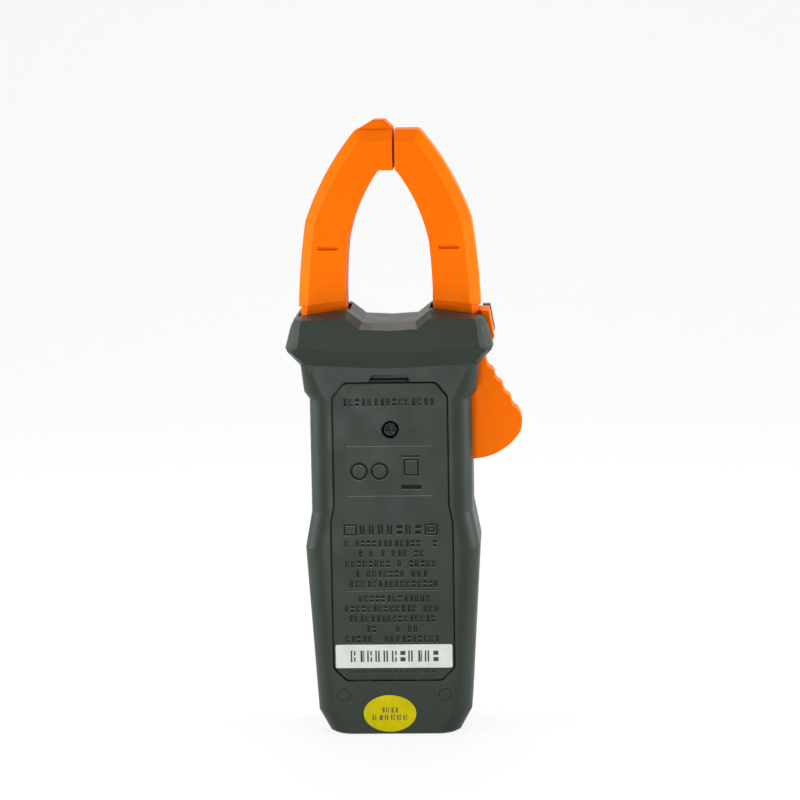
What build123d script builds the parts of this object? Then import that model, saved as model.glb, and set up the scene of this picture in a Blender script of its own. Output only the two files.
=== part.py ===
from build123d import *
import math
import os

# Pocket clamp meter, standing on its bottom end.
# Millimetres. +X to the right and -Y towards the user when the display is read, +Z up.
# The origin is the centre of the bottom end. The two case halves part at Y = 0.

os.makedirs("parts", exist_ok=True)

# ---------------------------------------------------------------- case
CASE_DEPTH = 17.0        # parting plane to the flat back, and to the flat front
CASE_WALL = 2.0
EDGE_R = 6.5             # rounding of the long edges of the back
FRONT_EDGE_R = 3.5       # the same on the front, which has to stay flat for the panel
NECK_EDGE_R = 3.5        # the same, just under the head
FOOT_HALF = 21.7         # half widths of the body, from the bottom end upwards
FOOT_BREAK = 0.8         # small break round the bottom end
SHIN_HALF = 25.9
SHIN_Z = 7.7
GRIP_HALF = 29.3
GRIP_Z = 63.6
WAIST_HALF = 27.0
WAIST_LOW_Z = 75.7
WAIST_TOP_Z = 113.9
SHOULDER_HALF = 28.8
SHOULDER_Z = 116.3
NECK_HALF = 29.6
NECK_Z = 125.5

# ---------------------------------------------------------------- head (finger guard)
GUARD_HALF = 34.5
GUARD_RISE = 5.9         # neck to the widest point of the guard
HEAD_TOP_HALF = 31.4
HEAD_SIDE_RISE = 7.2     # widest point to the top chamfer
HEAD_CORNER_Z = 141.0
CHEEK_HALF = 13.8        # inner end of each jaw seat
CHEEK_Z = 143.5
SADDLE_HALF = 8.8        # floor between the jaws
SADDLE_Z = 139.6
SADDLE_SAG = 0.5
HEAD_DEPTH = 20.6
HEAD_FLAT = 14.0         # depth at which the top chamfer starts
CHEEK_DROP = 3.0         # fall of the top chamfer to the back, at the cheeks
SADDLE_DROP = 2.2        # the same between the jaws
SADDLE_SPREAD = 1.0
HEAD_STEPS = (0.38, 0.71, 0.92, 1.0)   # shares of the head's rounded depth
HEAD_LEAN = 1.8
BAND_RISE = 5.7          # height of the flare band at the back
BAND_Z = 124.6
SMILE_R = 250.0          # radius of the flare band's curved edges
SMILE_SWEEP = 20         # degrees of arc, enough to pass the sides of the head
HEAD_WALL = 2.4

# ---------------------------------------------------------------- jaws
JAW_DEPTH = 9.0
JAW_WALL = 1.8
JAW_BEVEL = 3.4
JAW_BEVEL_DEPTH = 3.0
JAW_TOP_Z = 202.7
JAW_TIP_HALF = 10.6
JAW_TIP_R = 2.2
JAW_HIP_HALF = 27.6
JAW_HIP_Z = 172.6
JAW_BASE_HALF = 30.5
JAW_BASE_Z = 138.0
SIDE_BOW = 0.6
SHOULDER_BOW = 1.6
WINDOW_TOP_HALF = 2.9
WINDOW_TOP_Z = 189.4
WINDOW_TOP_R = 1.2
WINDOW_MID_HALF = 13.55
WINDOW_MID_Z = 165.6
WINDOW_HALF = 14.4
WINDOW_HALF_Z = 154.5
WINDOW_BASE_HALF = 13.6
WINDOW_BOW = 1.5
JAW_GAP = 0.7
JAW_GAP_X = -2.2         # the jaws meet a little to the left of centre
COLLAR_OUT_Z = 144.2     # lower end of the thick part, outer and inner side
COLLAR_IN_Z = 146.2
COLLAR_STEP = 0.8        # the neck is this much smaller than the jaw, all round
NECK_DEPTH = 7.9         # the part of each jaw that goes into the head
JAW_NECK_OUT = 30.1
JAW_NECK_IN = 14.5
FIXED_NECK_Z = 127.0
BUMP_HEIGHT = 3.1
BUMP_DEPTH = 5.5
MARK_Z = 163.8           # moulded centring mark on each jaw
MARK_LENGTH = 6.9
MARK_WIDTH = 1.1
MARK_X = 20.1
MARK_DEPTH = 1.0

# ---------------------------------------------------------------- magnetic core and coils
CORE_DEPTH = 3.5
CORE_OUT_INSET = 5.2
CORE_IN_GROW = 3.9
CORE_TIP_WALL = 1.0
YOKE_LOW_Z = 127.5
YOKE_TOP_Z = 135.5
YOKE_END_X = -17.8
CORE_FOOT_Z = 137.3
COIL_LOW_Z = 148.0
COIL_TOP_Z = 162.0
COIL_X = 21.3
BOBBIN_HALF = 4.35
BOBBIN_WALL = 0.5
COIL_BUILD = 0.6
COIL_DEPTH = 6.2
FIT = 0.2                # looseness of pieces laid in the case

# ---------------------------------------------------------------- trigger and pivot
PIVOT_X = -22.0
PIVOT_Z = 131.0
PIN_R = 2.0
PIN_FIT = 0.05
BUSH_R = 3.1
LEVER_BOSS_R = 3.7
LEVER_DEPTH = 5.0
SLOT_GAP = 0.5
SWING_GAP = 0.9
KNOB_GROOVES = 24
TRIGGER_REACH = 43.7     # furthest point of the thumb edge from the middle
TRIGGER_TIP_Z = 103.6
TRIGGER_R = 38.9         # lower edge, from the pivot
SCALLOPS = 4
SCALLOP_R = 3.2
SCALLOP_DEPTH = 0.6
SCALLOP_FIRST = 0.16     # shares of the thumb edge's length
SCALLOP_PITCH = 0.235
LEVER_TOP_Z = 142.2
STRIP_LOW_Z = 134.0      # where the lever comes out of the side of the head
STRIP_HALF = 34.6
EAR_DEPTH = 5.3
WIDE_SLOT_Z = 124.0
NECK_GAP = 0.4
SPRING_WIRE = 0.5
SPRING_R = 3.4
SPRING_TURNS = 3

# ---------------------------------------------------------------- battery door and bay
DOOR_HALF = 19.4
DOOR_LOW_HALF = 20.6
DOOR_BOTTOM_Z = 18.4
DOOR_TOP_Z = 119.9
DOOR_FLARE_LOW_Z = 72.5
DOOR_FLARE_TOP_Z = 78.3
DOOR_TOP_CUT = 3.9
DOOR_LOW_CUT = 4.4
DOOR_CORNER_R = 2.5
DOOR_EDGE_R = 0.35
DOOR_THICK = 2.0
DOOR_GAP = 0.35
DOOR_SEAT = 2.2          # depth of the recess the door lies in
FLOOR_THICK = 1.6
SEAL_W = 1.0
SCREW_Z = 104.0
SCREW_HEAD_R = 2.6
SCREW_R = 1.25
SCREW_WELL_R = 2.95
SCREW_TIP_Y = 10.6
INSERT_R = 2.4
PRY_HALF = 6.9
PRY_HEIGHT = 2.4
PRY_CORNER = 1.2
PRY_FLOOR_Y = 12.6
TAB_X = 10.5
TAB_HALF = 3.0
TAB_LENGTH = 2.2
CELL_R = 5.25
CELL_LENGTH = 43.7
CELL_NUB = 0.8
CELL_X = 6.3
CELL_Y = 9.1
BAY_HALF = 12.6
BAY_LOW_Z = 23.0
BAY_TOP_Z = 72.5
BAY_WALL = 1.0
BAY_FLOOR_Y = 2.8
LABEL_HALF = 19.6
LABEL_LOW_Z = 23.0
LABEL_TOP_Z = 31.0
STICKER_X = 1.7
STICKER_Z = 7.25
STICKER_A = 8.85
STICKER_B = 6.3
FOIL = 0.12

# ---------------------------------------------------------------- case screws
LOW_SCREW_X = 17.0
LOW_SCREW_Z = 13.6
HIGH_SCREW_X = 15.6
HIGH_SCREW_Z = 82.5
CASE_SCREW_R = 1.0
CASE_HEAD_R = 1.85
PLUG_R = 2.0
BOSS_R = 3.1

# ---------------------------------------------------------------- front
LENS_HALF = 21.5
LENS_LOW_Z = 30.5
LENS_TOP_Z = 62.5
LENS_THICK = 1.05
LCD_GAP = 1.9
VIEW_BORDER = 2.5
PANEL_HALF = 23.2
PANEL_LOW_Z = 26.0
PANEL_TOP_Z = 80.5
PANEL_THICK = 0.5
BUTTON_Z = 72.0
BUTTON_PITCH = 10.6
BUTTON_W = 8.0
BUTTON_H = 5.0
BUTTON_TRAVEL = 0.7
BUTTON_PROUD = 1.3
DIAL_Z = 99.0
DIAL_R = 16.5
DIAL_HEIGHT = 6.5
HUB_R = 5.5
ROTOR_R = 12.5
BOARD_REAR_Y = -8.0
BOARD_THICK = 1.6
BOARD_HALF = 22.0
BOARD_LOW_Z = 6.0
BOARD_TOP_Z = 117.0

# ---------------------------------------------------------------- input jacks
JACK_X = 9.5             # two jacks at the usual 19 mm spacing
JACK_R = 4.2
JACK_BORE_R = 2.0
JACK_CONTACT_R = 2.9
JACK_WELL = 3.0
JACK_LENGTH = 18.0
JACK_MOUTH_R = 3.3

FORWARD = (0, -1, 0)

# Values that follow from the sizes above
HEAD_SWELL = 0.3
BODY_LEVELS = [
    (0.0, FOOT_HALF, EDGE_R),
    (SHIN_Z, SHIN_HALF, EDGE_R),
    (GRIP_Z, GRIP_HALF, EDGE_R),
    (WAIST_LOW_Z, WAIST_HALF, EDGE_R),
    (WAIST_TOP_Z, WAIST_HALF, EDGE_R),
    (SHOULDER_Z, SHOULDER_HALF, EDGE_R),
    (NECK_Z, NECK_HALF, NECK_EDGE_R),
]
GUARD_Z = NECK_Z + GUARD_RISE
HEAD_ROUND = HEAD_DEPTH + HEAD_SWELL - HEAD_FLAT
SCREW_PLACES = [(s * LOW_SCREW_X, LOW_SCREW_Z) for s in (-1, 1)]
SCREW_PLACES += [(s * HIGH_SCREW_X, HIGH_SCREW_Z) for s in (-1, 1)]
SEAT_Y = CASE_DEPTH - DOOR_SEAT
HIGH_HEAD_Y = SEAT_Y - 2.0
LOW_HEAD_Y = 12.0
BOARD_POSTS = [(s * (BOARD_HALF - 2), z) for s in (-1, 1) for z in (BOARD_LOW_Z + 14, BOARD_TOP_Z - 5)]
COLLAR_LINE = (COLLAR_OUT_Z, COLLAR_IN_Z)
CELL_ROOM = 2.6          # room for the coil contact at the flat end of a cell
LCD_HALF = LENS_HALF - 2.0
LCD_LOW_Z = LENS_LOW_Z + 1.8
LCD_TOP_Z = LENS_TOP_Z - 1.8
LCD_FRONT_Y = LENS_THICK + LCD_GAP - CASE_DEPTH
STEM_TIP_Y = -12.5
SWITCH_TIP_Y = STEM_TIP_Y + BUTTON_TRAVEL + 0.05
ROTOR_FRONT_Y = -12.9
ROTOR_REAR_Y = -10.9
DETENT_PLACES = [(s * (ROTOR_R - 3.0), DIAL_Z) for s in (-1, 1)]
WIPER_R = ROTOR_R - 4.0
WIPER_TURNS = [math.radians(a) for a in (0, 130, 230)]
WIPER_PLACES = [(WIPER_R * math.sin(a), DIAL_Z + WIPER_R * math.cos(a)) for a in WIPER_TURNS]


# ---------------------------------------------------------------- shared helpers
def across(y):
    """Plane across the meter at depth y: sketch x is X and sketch y is Z."""
    return Plane.XZ.offset(-y)


def plate(points, y_a, y_b, mode=Mode.ADD):
    """Prism of a closed outline of (x, z) points between two depths."""
    with BuildSketch(across(max(y_a, y_b))) as face:
        with BuildLine():
            Polyline(*points, close=True)
        make_face()
    extrude(face.sketch, amount=abs(y_a - y_b), dir=FORWARD, mode=mode)


def disc(x, z, radius, y_a, y_b, mode=Mode.ADD):
    """Round pin or hole along Y between two depths."""
    with BuildSketch(across(max(y_a, y_b))) as face:
        with Locations((x, z)):
            Circle(radius)
    extrude(face.sketch, amount=abs(y_a - y_b), dir=FORWARD, mode=mode)


def block(x, y, z, mode=Mode.ADD):
    """Box given by its (low, high) extent along each axis."""
    centre = (sum(x) / 2, sum(y) / 2, sum(z) / 2)
    with Locations(centre):
        Box(abs(x[1] - x[0]), abs(y[1] - y[0]), abs(z[1] - z[0]), mode=mode)


def post(x, y, radius, z_low, z_top, mode=Mode.ADD):
    """Round pin or hole along Z."""
    with Locations((x, y, (z_low + z_top) / 2)):
        Cylinder(radius, z_top - z_low, mode=mode)


def rounded_plate(x, z, y_a, y_b, radius, mode=Mode.ADD):
    """Rectangle with round corners, between two depths."""
    with BuildSketch(across(max(y_a, y_b))) as face:
        with Locations((sum(x) / 2, sum(z) / 2)):
            RectangleRounded(x[1] - x[0], z[1] - z[0], radius)
    extrude(face.sketch, amount=abs(y_a - y_b), dir=FORWARD, mode=mode)


def both_sides(half):
    """Closed outline from its right-hand half, given from the bottom to the top."""
    return half + [(-x, z) for x, z in reversed(half) if x > 0]


def save(part, name):
    part.part.label = name
    export_step(part.part, f"parts/{name}.step")


# ---------------------------------------------------------------- case shapes


def half_width(z):
    """Half width of the body at a height."""
    for (z_a, w_a, _), (z_b, w_b, _) in zip(BODY_LEVELS, BODY_LEVELS[1:]):
        if z <= z_b:
            return w_a + (w_b - w_a) * (z - z_a) / (z_b - z_a)
    return BODY_LEVELS[-1][1]


def body_section(z, half, depth, radius, side):
    """Section of one case half, flat at the parting plane and rounded behind it."""
    with BuildSketch(Plane.XY.offset(z)) as section:
        with Locations((0, side * depth / 2)):
            Rectangle(2 * half, depth)
        far = section.vertices().group_by(Axis.Y)[-1 if side > 0 else 0]
        fillet(far, radius if side > 0 else min(radius, FRONT_EDGE_R))
    return section.sketch


def body_loft(side, mode=Mode.ADD):
    """Outside of one half of the body."""
    low = [body_section(0, FOOT_HALF - FOOT_BREAK, CASE_DEPTH - FOOT_BREAK, EDGE_R, side)]
    low.append(body_section(FOOT_BREAK, half_width(FOOT_BREAK), CASE_DEPTH, EDGE_R, side))
    rest = [body_section(z, w, CASE_DEPTH, r, side) for z, w, r in BODY_LEVELS[1:]]
    loft(low + rest, ruled=True, mode=mode)


def body_hollow(side):
    """Inside of one half of the body, one wall in from the outside."""
    t = CASE_WALL
    levels = [(t, half_width(t), EDGE_R)] + BODY_LEVELS[1:]
    loft([body_section(z, w - t, CASE_DEPTH - t, r - t / 2, side) for z, w, r in levels],
         ruled=True, mode=Mode.SUBTRACT)


def rounding(y, start, radius):
    """How far a quarter-round edge has come in at depth y."""
    run = min(max(y - start, 0), radius)
    return radius - math.sqrt(radius ** 2 - run ** 2)


def head_outline(share):
    """Outline of the head at a share of its rounded depth: the sides come in and the top drops."""
    depth = HEAD_FLAT + share * HEAD_ROUND
    side = rounding(depth, HEAD_FLAT, HEAD_ROUND)
    neck = rounding(depth, CASE_DEPTH - NECK_EDGE_R, NECK_EDGE_R)
    return both_sides([
        (NECK_HALF - 1.2 - neck, BAND_Z - 2.5),
        (NECK_HALF - neck, NECK_Z),
        (GUARD_HALF - 0.6 - side, GUARD_Z - 1.4),
        (GUARD_HALF - side, GUARD_Z),
        (GUARD_HALF - 1.9 - side, GUARD_Z + HEAD_SIDE_RISE),
        (HEAD_TOP_HALF - side, HEAD_CORNER_Z),
        (CHEEK_HALF, CHEEK_Z - share * CHEEK_DROP),
        (SADDLE_HALF + share * SADDLE_SPREAD, SADDLE_Z - share * SADDLE_DROP),
        (0, SADDLE_Z - SADDLE_SAG - share * SADDLE_DROP),
    ])


def head_face(y, share):
    with BuildSketch(across(y)) as face:
        with BuildLine():
            Polyline(*head_outline(share), close=True)
        make_face()
    return face.sketch


def head_block(side):
    """One half of the head: outline, rounded sides, top chamfer and flare band."""
    with BuildSketch(across(max(0, side * HEAD_FLAT))) as face:
        with BuildLine():
            Polyline(*head_outline(0), close=True)
        make_face()
    extrude(face.sketch, amount=HEAD_FLAT, dir=FORWARD)
    steps = [head_face(side * (HEAD_FLAT + share * HEAD_ROUND), share) for share in (0,) + HEAD_STEPS]
    loft(steps, ruled=True)
    with BuildSketch(Plane.YZ) as band:
        with BuildLine():
            Polyline(
                (0, BAND_Z - 3),
                (side * (CASE_DEPTH - 0.05), BAND_Z - 3),
                (side * (CASE_DEPTH - 0.05), BAND_Z),
                (side * HEAD_DEPTH, BAND_Z + BAND_RISE),
                (side * (HEAD_DEPTH - HEAD_LEAN), CHEEK_Z + 3),
                (0, CHEEK_Z + 3),
                close=True,
            )
        make_face()
    axis = Axis((0, 0, BAND_Z + SMILE_R), (0, 1, 0))
    with BuildPart(mode=Mode.PRIVATE) as smile:
        revolve(band.sketch.rotate(axis, -SMILE_SWEEP / 2), axis=axis, revolution_arc=SMILE_SWEEP)
    add(smile.part, mode=Mode.INTERSECT)


def head_hollow(side):
    """Room for the jaws, the yoke and the pivot inside one half of the head."""
    roof = SADDLE_Z - SADDLE_SAG - HEAD_WALL
    wide = GUARD_HALF - HEAD_WALL
    outline_low = both_sides([(NECK_HALF - CASE_WALL, WAIST_TOP_Z + 9), (NECK_HALF - CASE_WALL, NECK_Z),
                              (wide, GUARD_Z), (wide - 0.4, GUARD_Z + 2), (0, GUARD_Z + 2)])
    outline_high = both_sides([(wide, GUARD_Z), (wide - 1.6, roof), (0, roof)])
    plate(outline_low, 0, side * (HEAD_DEPTH - HEAD_WALL - 3), mode=Mode.SUBTRACT)
    plate(outline_high, 0, side * (HEAD_FLAT - 1.5), mode=Mode.SUBTRACT)


def jaw_openings(side):
    """Slots in the head for the jaw necks, and the side slot that the trigger swings in."""
    neck = side * (NECK_DEPTH + NECK_GAP)
    block((JAW_NECK_IN - 1.2, JAW_NECK_OUT + NECK_GAP), (0, neck), (GUARD_Z, CHEEK_Z + 3), mode=Mode.SUBTRACT)
    block((-GUARD_HALF - 2, -JAW_NECK_IN + 1.2), (0, neck), (WIDE_SLOT_Z, CHEEK_Z + 3), mode=Mode.SUBTRACT)
    slot = side * (LEVER_DEPTH + SLOT_GAP)
    slot_low = PIVOT_Z - TRIGGER_R - SWING_GAP
    block((-GUARD_HALF - 2, -WAIST_HALF + CASE_WALL + 1), (0, slot), (slot_low, GUARD_Z), mode=Mode.SUBTRACT)


def jack_holes():
    for x in (-JACK_X, JACK_X):
        with Locations((x, 0, CASE_WALL / 2)):
            Cylinder(JACK_R + FIT, 2 * CASE_WALL, mode=Mode.SUBTRACT)


def jaw_ribs(side):
    """Ribs that hold the fixed jaw's neck from its back and front."""
    near = side * (NECK_DEPTH + 0.1)
    far = side * (HEAD_DEPTH - HEAD_WALL - 2)
    for z in (FIXED_NECK_Z + 2, GUARD_Z + 3):
        block((JAW_NECK_IN + 1, JAW_NECK_OUT - 2), (near, far), (z - 0.8, z + 0.8))


def pivot_boss(side):
    """Seat of the pivot pin, and the shoulder that it stands on."""
    spring_room = SPRING_WIRE * 2 * (SPRING_TURNS + 1) + 0.8
    near = side * (NECK_DEPTH + (spring_room if side < 0 else 0.5))
    far = side * (HEAD_DEPTH - HEAD_WALL - 2)
    disc(PIVOT_X, PIVOT_Z, PIN_R + 2, near, far)
    disc(PIVOT_X, PIVOT_Z, PIN_R + PIN_FIT, near, far - side * 1.5, mode=Mode.SUBTRACT)


def head_depth_of(z):
    """Depth of a case screw's seat: under a plug at the bottom, under the door higher up."""
    return LOW_HEAD_Y if z < DOOR_BOTTOM_Z else HIGH_HEAD_Y


def boss_top(z):
    """Rear end of a case screw's boss: the wall at the bottom, the door's seat higher up."""
    return CASE_DEPTH - CASE_WALL if z < DOOR_BOTTOM_Z else SEAT_Y


def door_outline(grow):
    """Outline of the battery door, wider below than above, with cut corners."""
    half = DOOR_HALF + grow
    low = DOOR_LOW_HALF + grow
    bottom = DOOR_BOTTOM_Z - grow
    top = DOOR_TOP_Z + grow
    return both_sides([
        (low - DOOR_LOW_CUT, bottom),
        (low, bottom + DOOR_LOW_CUT),
        (low, DOOR_FLARE_LOW_Z),
        (half, DOOR_FLARE_TOP_Z),
        (half, top - 1.25 * DOOR_TOP_CUT),
        (half - DOOR_TOP_CUT, top),
    ])


def door_plate(grow, y_a, y_b, mode=Mode.ADD):
    """Slab of the door's shape between two depths, grown or shrunk all round."""
    with BuildSketch(across(max(y_a, y_b))) as face:
        with BuildLine():
            Polyline(*door_outline(grow), close=True)
        make_face()
        fillet(face.vertices(), DOOR_CORNER_R)
    extrude(face.sketch, amount=abs(y_a - y_b), dir=FORWARD, mode=mode)


def pry_pocket():
    """Deep slot over the door's top edge, closed behind, for a fingernail or a screwdriver."""
    low = DOOR_TOP_Z + 0.4
    top = DOOR_TOP_Z + PRY_HEIGHT
    wide = (-PRY_HALF - 1.5, PRY_HALF + 1.5)
    block(wide, (PRY_FLOOR_Y - 1.5, SEAT_Y), (low - 1.5, top + 1.5))
    block(wide, (SEAT_Y - 0.1, CASE_DEPTH - 1), (low, top + 1.5))
    mouth = both_sides([(PRY_HALF, low - 1), (PRY_HALF, low), (PRY_HALF - PRY_CORNER, top), (0, top)])
    pocket = both_sides([(PRY_HALF, low), (PRY_HALF - PRY_CORNER, top), (0, top)])
    plate(mouth, CASE_DEPTH + 1, SEAT_Y, mode=Mode.SUBTRACT)
    plate(pocket, SEAT_Y + 0.1, PRY_FLOOR_Y, mode=Mode.SUBTRACT)


def rear_case():
    with BuildPart() as case:
        head_block(1)
        body_loft(1)
        body_hollow(1)
        head_hollow(1)
        jaw_openings(1)
        jaw_ribs(1)
        pivot_boss(1)
        # floor of the door recess, closed over the boss for the door screw
        door_plate(2.4, SEAT_Y, SEAT_Y - FLOOR_THICK)
        disc(0, SCREW_Z, INSERT_R + 2.4, SEAT_Y - 0.5, SCREW_TIP_Y - 3.4)
        door_plate(0, CASE_DEPTH + 1, SEAT_Y, mode=Mode.SUBTRACT)
        pry_pocket()
        bay = BAY_HALF + FIT
        block((-bay, bay), (BAY_FLOOR_Y, CASE_DEPTH), (BAY_LOW_Z - FIT, BAY_TOP_Z + FIT), mode=Mode.SUBTRACT)
        disc(0, SCREW_Z, SCREW_WELL_R + 1.8, SEAT_Y + 0.1, SEAT_Y - 1.5, mode=Mode.SUBTRACT)
        disc(0, SCREW_Z, INSERT_R, SEAT_Y, SCREW_TIP_Y - 1.6, mode=Mode.SUBTRACT)
        # pockets for the door's two lower tabs
        for x in (-TAB_X, TAB_X):
            block((x - TAB_HALF - 0.3, x + TAB_HALF + 0.3), (CASE_DEPTH - 4.2, CASE_DEPTH - 0.8),
                  (DOOR_BOTTOM_Z - TAB_LENGTH - 0.3, DOOR_BOTTOM_Z + 2), mode=Mode.SUBTRACT)
        for x, z in SCREW_PLACES:
            seat = head_depth_of(z)
            disc(x, z, BOSS_R, boss_top(z), 0)
            disc(x, z, PLUG_R + 0.05, CASE_DEPTH + 1, seat, mode=Mode.SUBTRACT)
            disc(x, z, CASE_SCREW_R + 0.2, seat + 1, -1, mode=Mode.SUBTRACT)
        jack_holes()
    return case


def lever_ear():
    """Rib of the front half that stands just outside the lever and guards its edge."""
    head_side = -HEAD_TOP_HALF + 0.6
    plate([(head_side, STRIP_LOW_Z - 2), (-GUARD_HALF + 0.6, STRIP_LOW_Z - 2),
           (-STRIP_HALF - 0.2, STRIP_LOW_Z), (-HEAD_TOP_HALF - 1.9, LEVER_TOP_Z + 0.2),
           (head_side, LEVER_TOP_Z + 0.2)], -JAW_DEPTH - NECK_GAP, -HEAD_FLAT)


def front_case():
    with BuildPart() as case:
        head_block(-1)
        body_loft(-1)
        body_hollow(-1)
        head_hollow(-1)
        jaw_openings(-1)
        jaw_ribs(-1)
        pivot_boss(-1)
        lever_ear()
        front = -CASE_DEPTH
        lens = FIT / 2
        rounded_plate((-LENS_HALF - lens, LENS_HALF + lens), (LENS_LOW_Z - lens, LENS_TOP_Z + lens),
                      front - 1, front + LENS_THICK + 0.05, 1.5, mode=Mode.SUBTRACT)
        rounded_plate((-LENS_HALF + 1.5, LENS_HALF - 1.5), (LENS_LOW_Z + 1.5, LENS_TOP_Z - 1.5),
                      front, front + CASE_WALL + 1, 1.0, mode=Mode.SUBTRACT)
        for x in button_columns():
            rounded_plate((x - BUTTON_W / 2 - 0.3, x + BUTTON_W / 2 + 0.3),
                          (BUTTON_Z - BUTTON_H / 2 - 0.3, BUTTON_Z + BUTTON_H / 2 + 0.3),
                          front - 1, front + CASE_WALL + 1, 1.5, mode=Mode.SUBTRACT)
        disc(0, DIAL_Z, HUB_R + 0.3, front - 1, front + CASE_WALL + 1, mode=Mode.SUBTRACT)
        for x, z in SCREW_PLACES:
            disc(x, z, BOSS_R - 0.2, front + CASE_WALL - 0.1, -0.1)
            disc(x, z, CASE_SCREW_R + 0.05, -9.0, 0, mode=Mode.SUBTRACT)
        # posts that the circuit board lies on
        for x, z in BOARD_POSTS:
            disc(x, z, 1.6, front + CASE_WALL - 0.1, BOARD_REAR_Y - BOARD_THICK - 0.05)
        jack_holes()
    return case


def button_columns():
    return [BUTTON_PITCH * (i - 1.5) for i in range(4)]


# ---------------------------------------------------------------- jaws
def bowed(start, end, bow):
    """Middle point of a shallow arc from start to end, standing out to the right by bow."""
    dx, dz = end[0] - start[0], end[1] - start[1]
    length = math.hypot(dx, dz)
    mid_x, mid_z = (start[0] + end[0]) / 2, (start[1] + end[1]) / 2
    return (mid_x + bow * abs(dz) / length, mid_z + bow * abs(dx) / length)


def flipped(point):
    return (-point[0], point[1])


def jaw_outer(y, inset=0.0):
    """Outer outline of the closed jaws, from the head to the tips."""
    base = (JAW_BASE_HALF, JAW_BASE_Z)
    foot = (JAW_BASE_HALF, FIXED_NECK_Z - 12)
    hip = (JAW_HIP_HALF, JAW_HIP_Z)
    tip = (JAW_TIP_HALF, JAW_TOP_Z)
    side = bowed(base, hip, SIDE_BOW)
    shoulder = bowed(hip, tip, SHOULDER_BOW)
    with BuildSketch(across(y)) as face:
        with BuildLine():
            ThreePointArc(base, side, hip)
            ThreePointArc(hip, shoulder, tip)
            Line(tip, flipped(tip))
            ThreePointArc(flipped(tip), flipped(shoulder), flipped(hip))
            ThreePointArc(flipped(hip), flipped(side), flipped(base))
            Polyline(flipped(base), flipped(foot), foot, base)
        make_face()
        if inset > 0:
            offset(amount=-inset, kind=Kind.INTERSECTION)
        fillet(face.vertices().group_by(Axis.Y)[-1], JAW_TIP_R)
    return face.sketch


def jaw_window(y, grow=0.0):
    """Opening inside the closed jaws."""
    top = (WINDOW_TOP_HALF, WINDOW_TOP_Z)
    middle = (WINDOW_MID_HALF, WINDOW_MID_Z)
    low = (WINDOW_BASE_HALF, JAW_BASE_Z - 14)
    with BuildSketch(across(y)) as face:
        with BuildLine():
            ThreePointArc(low, (WINDOW_HALF, WINDOW_HALF_Z), middle)
            ThreePointArc(middle, bowed(middle, top, WINDOW_BOW), top)
            Line(top, flipped(top))
            ThreePointArc(flipped(top), flipped(bowed(middle, top, WINDOW_BOW)), flipped(middle))
            ThreePointArc(flipped(middle), (-WINDOW_HALF, WINDOW_HALF_Z), flipped(low))
            Line(flipped(low), low)
        make_face()
        fillet(face.vertices().group_by(Axis.Y)[-1], WINDOW_TOP_R)
        if grow > 0:
            offset(amount=grow, kind=Kind.ARC)
    return face.sketch


def jaw_band(fixed, y_a, y_b, out_inset, in_grow, tip_wall, low_line):
    """Slab of one jaw's band between two depths, ending below on a sloping line."""
    far = max(y_a, y_b)
    thick = abs(y_a - y_b)
    sign = 1 if fixed else -1
    with BuildPart(mode=Mode.PRIVATE) as band:
        extrude(jaw_outer(far, out_inset), amount=thick, dir=FORWARD)
        extrude(jaw_window(far, in_grow), amount=thick, dir=FORWARD, mode=Mode.SUBTRACT)
        out_z, in_z = low_line
        slope = (in_z - out_z) / (JAW_BASE_HALF - WINDOW_BASE_HALF)
        far_x = sign * (JAW_BASE_HALF + 10)
        tip_x = JAW_GAP_X + sign * (JAW_GAP / 2 + tip_wall)
        plate([(far_x, out_z - 10 * slope), (tip_x, out_z + (JAW_BASE_HALF - sign * tip_x) * slope),
               (tip_x, JAW_TOP_Z + 10), (far_x, JAW_TOP_Z + 10)], y_a, y_b, mode=Mode.INTERSECT)
    return band.part


def bevelled(side, inset=0.0):
    """Shape that the outer edges of the jaws are cut to."""
    shallow = side * (JAW_DEPTH - JAW_BEVEL_DEPTH)
    with BuildPart(mode=Mode.PRIVATE) as shape:
        extrude(jaw_outer(max(0, shallow), inset), amount=abs(shallow), dir=FORWARD)
        loft([jaw_outer(shallow, inset), jaw_outer(side * JAW_DEPTH, JAW_BEVEL + inset)], ruled=True)
    return shape.part


def jaw_body(fixed, side):
    """Bevelled band of one jaw, above the collar."""
    with BuildPart(mode=Mode.PRIVATE) as band:
        add(jaw_band(fixed, 0, side * JAW_DEPTH, 0, 0, 0, COLLAR_LINE))
        add(bevelled(side), mode=Mode.INTERSECT)
    return band.part


def neck_outline(fixed):
    """Outline of the part of a jaw that stands in the head."""
    sign = 1 if fixed else -1
    top = COLLAR_OUT_Z + 4
    if fixed:
        low = FIXED_NECK_Z
        return [(JAW_NECK_IN, low), (JAW_NECK_OUT - 2, low), (JAW_NECK_OUT, low + 6), (JAW_NECK_OUT, top),
                (JAW_NECK_IN, top)]
    ear = PIVOT_Z - 5.4
    return [(sign * JAW_NECK_IN, top), (sign * JAW_NECK_OUT, top), (sign * JAW_NECK_OUT, PIVOT_Z - 0.5),
            (PIVOT_X - 5, ear), (PIVOT_X + 5, ear), (sign * JAW_NECK_IN, PIVOT_Z - 0.5)]


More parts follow.
